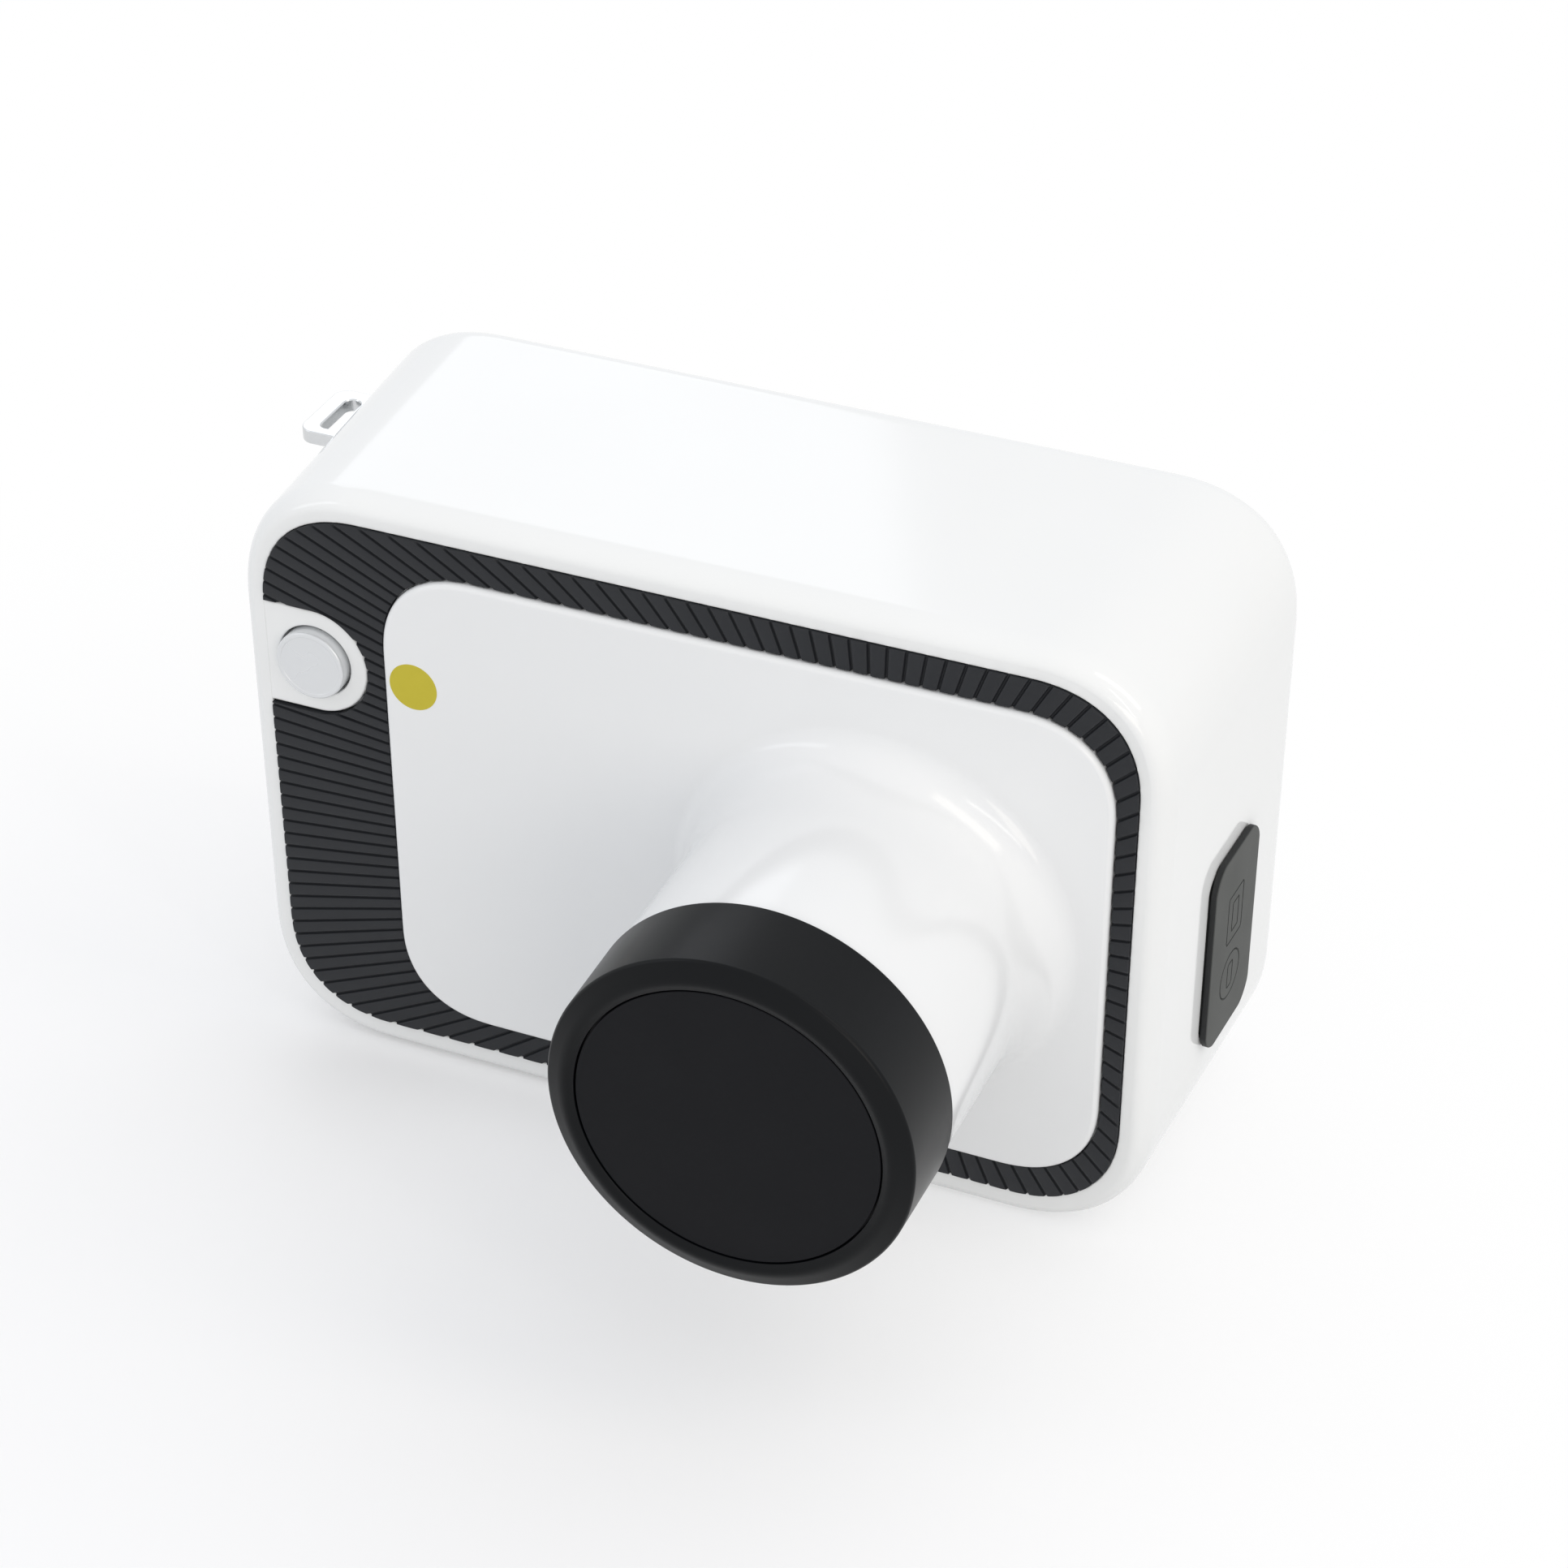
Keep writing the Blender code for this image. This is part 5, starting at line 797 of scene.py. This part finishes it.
def port_cover():
    """Rubber flap: its outline over a short rounded edge to a face that falls a little to its rim,
    with line marks sunk into the face, and a plug rim behind it."""
    outline = soft_rectangle(PORT_FLAP, 0, 1.7, 16, 16)
    left, right, bottom, high, _ = PORT_FLAP
    centre = np.array((left + right, bottom + high)) / 2
    size = np.ptp(outline, axis=0)
    top = CLEARANCE + PORT_THICKNESS
    low = top - PORT_FALL

    def ring(inset, out, share=1):
        return out_ring(centre + (outline - centre) * (size - 2 * inset) / size * share, out)

    rings = [ring(0.0003, PORT_SEAT, share) for share in (0, 0.5, 0.9, 0.98, 1)]
    rings += [ring(0, PORT_SEAT + 0.0003), ring(0, low - PORT_EDGE * 1.2)]
    rings += [ring(PORT_EDGE * b, low - PORT_EDGE * a) for a, b in quarter(4)]
    rings += [ring(PORT_EDGE, top - PORT_FALL * share**3, share)
              for share in (0.99, 0.95, 0.85, 0.7, 0.5, 0.3, 0)]
    item = make_piece("port_flap", in_port_frame(lofted(rings)), "silicone_rubber", "port_rubber",
                      "port_cover", ["port_cover"])
    outside = port_opening(PLUG_GAP, 0.0024, corner=10)
    inside = port_opening(PLUG_GAP + PLUG_WALL, 0.0009, corner=10)
    root, tip, end = PLUG_STEPS
    plug = [out_ring(line, out) for line, out in (
        (outside, root), (outside, tip), (outside * 0.985, end), (inside, end), (inside, root))]
    make_piece("port_plug", in_port_frame(lofted(plug, closed=True)), "silicone_rubber",
               "port_rubber", "port_cover")
    marks = [sunk_line(centred(width, tall, reach, corner=bends, side=steps) + (x, z), top)
             for x, z, width, tall, reach, bends, steps in PORT_MARKS]
    carve(item, *marks, sharp=45)
    # Faces that don't look outwards form the rim, which gets painted shade
    normals = np.empty(len(item.data.polygons) * 3)
    item.data.polygons.foreach_get("normal", normals)
    outward = normals.reshape(-1, 3) @ PORT_AXES[:, 0]
    rim = item.data.attributes.new("rim", "FLOAT", "FACE")
    rim.data.foreach_set("value", (outward < 0.5).astype(np.float32))
    paint_rim_shade()


def sunk_line(outline, height):
    """Tool for a line round an (along, up) outline: a lens section carried along it."""
    onward = np.roll(outline, -1, axis=0) - np.roll(outline, 1, axis=0)
    across = np.stack((onward[:, 1], -onward[:, 0]), axis=1)
    across /= np.linalg.norm(onward, axis=1, keepdims=True)
    half = MARK_WIDTH / 2
    section = ((-half, -0.00008), (-half * 1.6, 0.0004), (half * 1.6, 0.0004), (half, -0.00008),
               (0, -0.00030))
    rings = [out_ring(outline + across * aside, height + out) for aside, out in section]
    return in_port_frame(lofted(rings, closed=True))


def softened(cad_name, name, look, width):
    """The CAD solid itself, merged to one mesh, with its edges rounded by a bevel."""
    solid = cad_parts[cad_name]
    mesh = solid.data.copy()
    mesh.transform(solid.matrix_world)
    shape = bmesh.new()
    shape.from_mesh(mesh)
    bmesh.ops.remove_doubles(shape, verts=shape.verts, dist=1e-6)
    bmesh.ops.dissolve_limit(shape, angle_limit=math.radians(1), verts=shape.verts,
                             edges=shape.edges)
    shape.to_mesh(mesh)
    shape.free()
    item = added(name, mesh)
    dress(item, look, "unit", [cad_name], 30)
    edges = item.modifiers.new("Edges", "BEVEL")
    edges.width, edges.segments, edges.limit_method = width, 3, "ANGLE"
    edges.angle_limit = math.radians(40)
    edges.harden_normals = True


def back_plate():
    """Plate in the back's rebate, with recess for the glass, key holes and screw bosses."""
    edge = BACK_ROUNDING + BACK_RIM + CLEARANCE
    soft = PLATE_EDGE
    rings = [housing_ring(HOUSING_DEPTH, edge + soft * 1.3)]
    rings += [housing_ring(HOUSING_DEPTH - soft * b, edge + soft * a) for a, b in quarter(5)]
    rings += [housing_ring(HOUSING_DEPTH - drop, edge) for drop in (soft * 1.3, WALL)]
    item = make_piece("back_plate", capped(rings, (0, 0.5, 0.95)), *WHITE, "unit", ["rear_cover"])
    recess = soft_rectangle(GLASS, CLEARANCE, 2, 10)
    opening = soft_rectangle((*GLASS[:4], GLASS[4] / 2 + SCREEN_BORDER), -SCREEN_BORDER, 2, 8)
    near, far = (HOUSING_DEPTH + out for out in BACK_HOLE)
    holes = [slab(recess, HOUSING_DEPTH - GLASS_THICKNESS - CLEARANCE, far),
             slab(opening, near, HOUSING_DEPTH)]
    round_holes = [(KEY_RADIUS, KEY_X, height) for height in KEY_HEIGHTS.values()]
    round_holes += [(HEAD_RADIUS, x, z) for x, z in SCREW_PLACES.values()]
    holes += [bar(radius + RUNNING_GAP, *BACK_HOLE, (x, BACK_Y, z), REARWARD, 64)
              for radius, x, z in round_holes]
    carve(item, *holes)
    head, shank = HEAD_RADIUS + RUNNING_GAP, SHANK_RADIUS + CLEARANCE
    cup = [(head, -0.0010), (HEAD_RADIUS + WALL, -0.0010),
           (HEAD_RADIUS + WALL, -SCREW_RECESS - WALL), (shank, -SCREW_RECESS - WALL),
           (shank, -SCREW_RECESS), (head, -SCREW_RECESS)]
    cups = [turned(cup, (x, BACK_Y, z), REARWARD, 64) for x, z in SCREW_PLACES.values()]
    make_piece("back_bosses", together(*cups), *WHITE)


def back_screw(name, x, z):
    """Screw with a rounded head and a hexagonal socket, of outline apothem / cos(turn - sixth)."""
    turn = np.linspace(0, 2 * math.pi, 96, endpoint=False)
    hexagon = SOCKET_SIZE / np.cos((turn + math.pi / 6) % (math.pi / 3) - math.pi / 6)
    seat = HOUSING_DEPTH - SCREW_RECESS + CLEARANCE
    deep = HEAD_HEIGHT - SOCKET_DEPTH
    stations = [(0, deep), (hexagon, deep), (hexagon, HEAD_HEIGHT - SOCKET_EDGE),
                (hexagon + SOCKET_EDGE, HEAD_HEIGHT), (HEAD_RADIUS - HEAD_EDGE * 1.2, HEAD_HEIGHT)]
    stations += [(HEAD_RADIUS - HEAD_EDGE * a, HEAD_HEIGHT - HEAD_EDGE * b) for a, b in quarter(5)]
    stations += [(HEAD_RADIUS, 0), (SHANK_RADIUS, 0), (SHANK_RADIUS, -SCREW_LENGTH),
                 (0, -SCREW_LENGTH - SHANK_RADIUS)]
    rings = [points(x + radius * np.cos(turn), at_depth(seat + height), z + radius * np.sin(turn))
             for radius, height in stations]
    make_piece(f"{name}_socket_head", lofted(rings), "bright_steel", "steel", stands_for=[name])


def display_glass():
    """Cover glass: rounded rectangle with a fine ground edge."""
    edge = GLASS_EDGE
    stations = ((0, GLASS_THICKNESS), (0, edge), (edge * 0.3, edge * 0.3), (edge, 0), (edge * 2, 0))
    rings = [at_y(soft_rectangle(GLASS, -inset, 2, 16), HOUSING_DEPTH - drop)
             for inset, drop in stations]
    make_piece("cover_glass", capped(rings), "black_glass", "screen_glass",
               stands_for=["display_glass"])
    frame_screen()


def key_cap(name, height):
    """Round key: dished face, soft edge, flange and stem inside."""
    flange = -(WALL + CLEARANCE)
    (width, thick), (stem, deep) = KEY_FLANGE, KEY_STEM
    profile = [
        (0, KEY_RISE - 0.00025), (KEY_RADIUS * 0.6, KEY_RISE - 0.00015, 0.0012),
        (KEY_RADIUS - 0.0005, KEY_RISE, 0.0003), (KEY_RADIUS, KEY_RISE - 0.0001, 0.0003),
        (KEY_RADIUS, flange), (KEY_RADIUS + width, flange), (KEY_RADIUS + width, flange - thick),
        (stem, flange - thick), (stem, -deep, 0.0002), (0, -deep),
    ]
    skin = turned(profile, (KEY_X, BACK_Y, height), REARWARD, 96)
    make_piece(f"{name}_cap", skin, "key_plastic", "key_grey", name, [name])


def key_marks():
    """Printed signs on the keys, each a thin prism: an open ring with a stroke, two triangles and
    three bars."""
    near = HOUSING_DEPTH + KEY_RISE - MARK_SINK
    far = near + MARK_RISE
    half = MARK_STROKE / 2

    def printed(name, *skins):
        make_piece(f"{name}_sign", together(*skins), "white_print", "white_shell", f"key_{name}")

    def stroke(height, reach, bottom, top):
        box = (KEY_X - reach, KEY_X + reach, height + bottom, height + top, MARK_STROKE * 0.2)
        return slab(soft_rectangle(box, 0, 2, 2, 1), near, far)

    height = KEY_HEIGHTS["key_power"]
    turn = np.radians(np.linspace(128, 412, 49))[:, None]
    aside, depth = np.array(((-half, near), (half, near), (half, far), (-half, far))).T
    reach = MARK_REACH * 0.86 + aside
    arc = points(KEY_X + np.cos(turn) * reach, at_depth(depth), height + np.sin(turn) * reach)
    printed("power", capped(arc), stroke(height, half, MARK_REACH * 0.2, MARK_REACH * 1.1))
    for name, way in (("up", 1), ("down", -1)):
        corners = np.array(((-1.0, -0.6), (1.0, -0.6), (0.0, 1.0))) * (1, way) * MARK_REACH * 0.8
        outline = soft_corners(corners, 0.0002, 3) + (KEY_X, KEY_HEIGHTS[f"key_{name}"])
        printed(name, slab(outline, near, far))
    printed("mode", *[stroke(KEY_HEIGHTS["key_mode"], MARK_REACH * 0.75, z - half, z + half)
                      for z in (-MARK_REACH * 0.5, 0, MARK_REACH * 0.5)])


def tripod_bush():
    """Brass bush whose bore narrows and widens once a thread pitch, as a zigzag."""
    height = np.arange(0.0009, TRIPOD_HEIGHT - 0.0012, THREAD_PITCH / 4)
    phase = (height / THREAD_PITCH) % 1
    radius = TRIPOD_BORE + THREAD_DEPTH * (np.abs(phase * 2 - 1) - 0.5)
    top = TRIPOD_HEIGHT + CLEARANCE
    profile = [(0, top), (TRIPOD_RADIUS, top), (TRIPOD_RADIUS, CLEARANCE, 0.0004),
               (TRIPOD_BORE + 0.0004, CLEARANCE, 0.0002), *zip(radius, height),
               (TRIPOD_BORE, top - TRIPOD_FLOOR), (0, top - TRIPOD_FLOOR)]
    skin = turned(profile, (0, TRIPOD_Y, 0), UPWARD, 96)
    make_piece("threaded_bush", skin, "turned_brass", "brass", stands_for=["tripod_insert"])


def linear(code):
    """An sRGB hex colour as linear values."""
    value = np.array([int(code[i:i + 2], 16) for i in (1, 3, 5)]) / 255
    low, high = value / 12.92, ((value + 0.055) / 1.055) ** 2.4
    return (*np.where(value <= 0.04045, low, high).tolist(), 1)


def node(tree, kind, *inputs, output=None, **settings):
    """Add a node and give back its output. An input, in order or by name, is a value or an output;
    settings in small letters belong to the node itself."""
    item = tree.nodes.new(kind)
    for key in [key for key in settings if key[0].islower()]:
        setattr(item, key, settings.pop(key))
    live = [socket for socket in item.inputs if socket.enabled]
    pairs = list(zip(live, inputs))
    pairs += [(next(socket for socket in live if socket.name == key.replace("_", " ")), value)
              for key, value in settings.items()]
    for socket, value in pairs:
        if isinstance(value, bpy.types.NodeSocket):
            tree.links.new(value, socket)
        else:
            socket.default_value = value
    if output:
        return item.outputs[output]
    return next(socket for socket in item.outputs if socket.enabled)


def colour_mix(tree, factor, one, other):
    return node(tree, "ShaderNodeMix", factor, linear(one), linear(other), data_type="RGBA")


def new_material(name):
    """A new material with its node tree and its surface shader."""
    material = bpy.data.materials.new(name)
    material.use_nodes = True
    return material, material.node_tree, material.node_tree.nodes["Principled BSDF"]


def finish(name):
    """The material of a finish: colour with soft clouds, roughness that drifts, fine relief."""
    if name in bpy.data.materials:
        return bpy.data.materials[name]
    colour, roughness, grain, depth, cloud_colour, cloud_size, others = FINISHES[name]
    material, tree, shader = new_material(name)
    for key, value in {"Base Color": linear(colour), **others}.items():
        shader.inputs[key].default_value = value
    place = node(tree, "ShaderNodeTexCoord", output="Object")
    if grain:
        relief = node(tree, "ShaderNodeTexNoise", Vector=place, Scale=1 / grain, Detail=3.0)
        rise = node(tree, "ShaderNodeBump", Height=relief, Distance=depth, Strength=1.0)
        tree.links.new(rise, shader.inputs["Normal"])
    drift = node(tree, "ShaderNodeTexNoise", Vector=place, Scale=90.0, Detail=2.0)
    spread = node(tree, "ShaderNodeMapRange", Value=drift, To_Min=roughness * 0.88,
                  To_Max=min(1, roughness * 1.14))
    tree.links.new(spread, shader.inputs["Roughness"])
    if cloud_size:
        cloud = node(tree, "ShaderNodeTexNoise", Vector=place, Scale=1 / cloud_size, Detail=4.0)
        tree.links.new(colour_mix(tree, cloud, colour, cloud_colour), shader.inputs["Base Color"])
    return material


def second_tone(name, factor, other):
    """Mix another colour into a finish."""
    tree = finish(name).node_tree
    tone = colour_mix(tree, factor, FINISHES[name][0], other)
    tree.links.new(tone, tree.nodes["Principled BSDF"].inputs["Base Color"])


def paint_rim_shade():
    """Painted shade on the flap's rim: its faces that don't look outwards are darker than its face.
    """
    tree = finish("silicone_rubber").node_tree
    rim = node(tree, "ShaderNodeAttribute", attribute_name="rim", output="Fac")
    second_tone("silicone_rubber", rim, RIM_SHADE_COLOUR)


def frame_screen():
    """A screen that is off: a slate tone inside a deep black printed border."""
    left, right, bottom, top, _ = GLASS
    middle = ((left + right) / 2, 0, (bottom + top) / 2)
    tree = finish("black_glass").node_tree
    place = node(tree, "ShaderNodeTexCoord", output="Object")
    aside = node(tree, "ShaderNodeVectorMath", place, middle, operation="SUBTRACT")
    away = node(tree, "ShaderNodeVectorMath", aside, operation="ABSOLUTE")
    away = node(tree, "ShaderNodeSeparateXYZ", away).node.outputs
    half = {"X": (right - left) / 2 - SCREEN_BORDER, "Z": (top - bottom) / 2 - SCREEN_BORDER}
    within = [node(tree, "ShaderNodeMath", away[axis], reach, operation="LESS_THAN")
              for axis, reach in half.items()]
    inside = node(tree, "ShaderNodeMath", *within, operation="MULTIPLY")
    second_tone("black_glass", inside, SCREEN_COLOUR)


def dress_inside():
    """Give the inner CAD nodes their finishes."""
    for name, nodes in HIDDEN_NODES.items():
        for part in nodes:
            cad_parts[part].material_slots[0].material = finish(name)


def studio():
    """White surroundings over a white floor, with softboxes behind and at both sides."""
    scene = bpy.context.scene
    scene.view_settings.view_transform = "Standard"
    world = bpy.data.worlds.new("studio")
    scene.world = world
    world.use_nodes = True
    tree = world.node_tree
    surround = tree.nodes["Background"]
    surround.inputs["Color"].default_value = linear("#fcfdff")
    heading = node(tree, "ShaderNodeTexCoord", output="Generated")
    facing = node(tree, "ShaderNodeVectorMath", heading, BRIGHT_SIDE, operation="DOT_PRODUCT")
    soft = node(tree, "ShaderNodeMapRange", facing, -1.0, 1.0, *SURROUND)
    diffuse = node(tree, "ShaderNodeLightPath", output="Is Diffuse Ray")
    strength = node(tree, "ShaderNodeMix", diffuse, SURROUND_SEEN, soft, data_type="FLOAT")
    tree.links.new(strength, surround.inputs["Strength"])

    sheet = bpy.data.meshes.new("floor")
    corners = [(x * FLOOR_HALF, y * FLOOR_HALF, 0) for x, y in ((-1, -1), (1, -1), (1, 1), (-1, 1))]
    sheet.from_pydata(corners, [], [(0, 1, 2, 3)])
    sheet.materials.append(white_paper())
    added("floor", sheet)

    for name, (azimuth, elevation, distance, width, height, radiance, colour) in SOFTBOXES.items():
        lamp = bpy.data.lights.new(name, "AREA")
        lamp.shape = "RECTANGLE"
        lamp.size, lamp.size_y = width, height
        lamp.energy = radiance * math.pi * width * height
        lamp.color = linear(colour)[:3]
        turn, climb = math.radians(azimuth), math.radians(elevation)
        level = math.cos(climb)
        way = Vector((math.sin(turn) * level, math.cos(turn) * level, math.sin(climb)))
        item = added(name, lamp)
        item.location = Vector(SOFTBOX_AIM) + way * distance
        item.rotation_euler = (-way).to_track_quat("-Z", "Y").to_euler()


def white_paper():
    """Matt white paper: paler to the camera than the light it throws back; painted light fades it
    to white.
    """
    paper, tree, matt = new_material("white_paper")
    matt.inputs["Roughness"].default_value = 0.9
    matt.inputs[SHEEN].default_value = 0.0
    path = node(tree, "ShaderNodeLightPath").node.outputs
    seen = path["Is Camera Ray"]
    for ray in ("Is Glossy Ray", "Is Transmission Ray"):
        seen = node(tree, "ShaderNodeMath", seen, path[ray], operation="MAXIMUM")
    tree.links.new(colour_mix(tree, seen, *FLOOR_COLOURS), matt.inputs["Base Color"])
    # Painted light: a white glow whose share grows away from a spot in front of the unit, lifting
    # the floor's shade there
    place = node(tree, "ShaderNodeTexCoord", output="Object")
    span = node(tree, "ShaderNodeVectorMath", place, GLOW_SPOT, operation="DISTANCE")
    share = node(tree, "ShaderNodeMapRange", span, *GLOW_REACH, *FLOOR_GLOW,
                 interpolation_type="SMOOTHSTEP")
    glowing = node(tree, "ShaderNodeMix", seen, 0.0, share, data_type="FLOAT")
    glow = node(tree, "ShaderNodeEmission", linear("#ffffff"), 1.0)
    lift = node(tree, "ShaderNodeMixShader", glowing, matt.outputs[0], glow)
    tree.links.new(lift, tree.nodes["Material Output"].inputs["Surface"])
    return paper


def camera():
    """The photograph's view."""
    lens = bpy.data.cameras.new("photo_camera")
    lens.lens = 88.0
    lens.sensor_width = 36.0
    right = Vector((0.92049, 0.39077, 0))
    up = Vector((-0.22160, 0.52199, 0.82366))
    back = Vector((0.32186, -0.75817, 0.56708))
    turn = Matrix((right, up, back)).transposed().to_4x4()
    turn.translation = (0.23356, -0.53983, 0.46160)
    item = added("photo_camera", lens)
    item.matrix_world = turn
    bpy.context.scene.camera = item


for build in (housing, lobe, lug_fairing, grip_band, front_panel, collimator_ring, exit_disc,
              button_cap, yellow_dot, port_cover, lug_plate):
    build()
softened("charging_socket", "charging_jack", "dark_abs", 0.0002)
softened("data_socket", "data_jack", "bright_steel", 0.00008)
back_plate()
for screw_name, (screw_x, screw_z) in SCREW_PLACES.items():
    back_screw(screw_name, screw_x, screw_z)
display_glass()
for key_name, key_height in KEY_HEIGHTS.items():
    key_cap(key_name, key_height)
key_marks()
tripod_bush()
dress_inside()
studio()
camera()
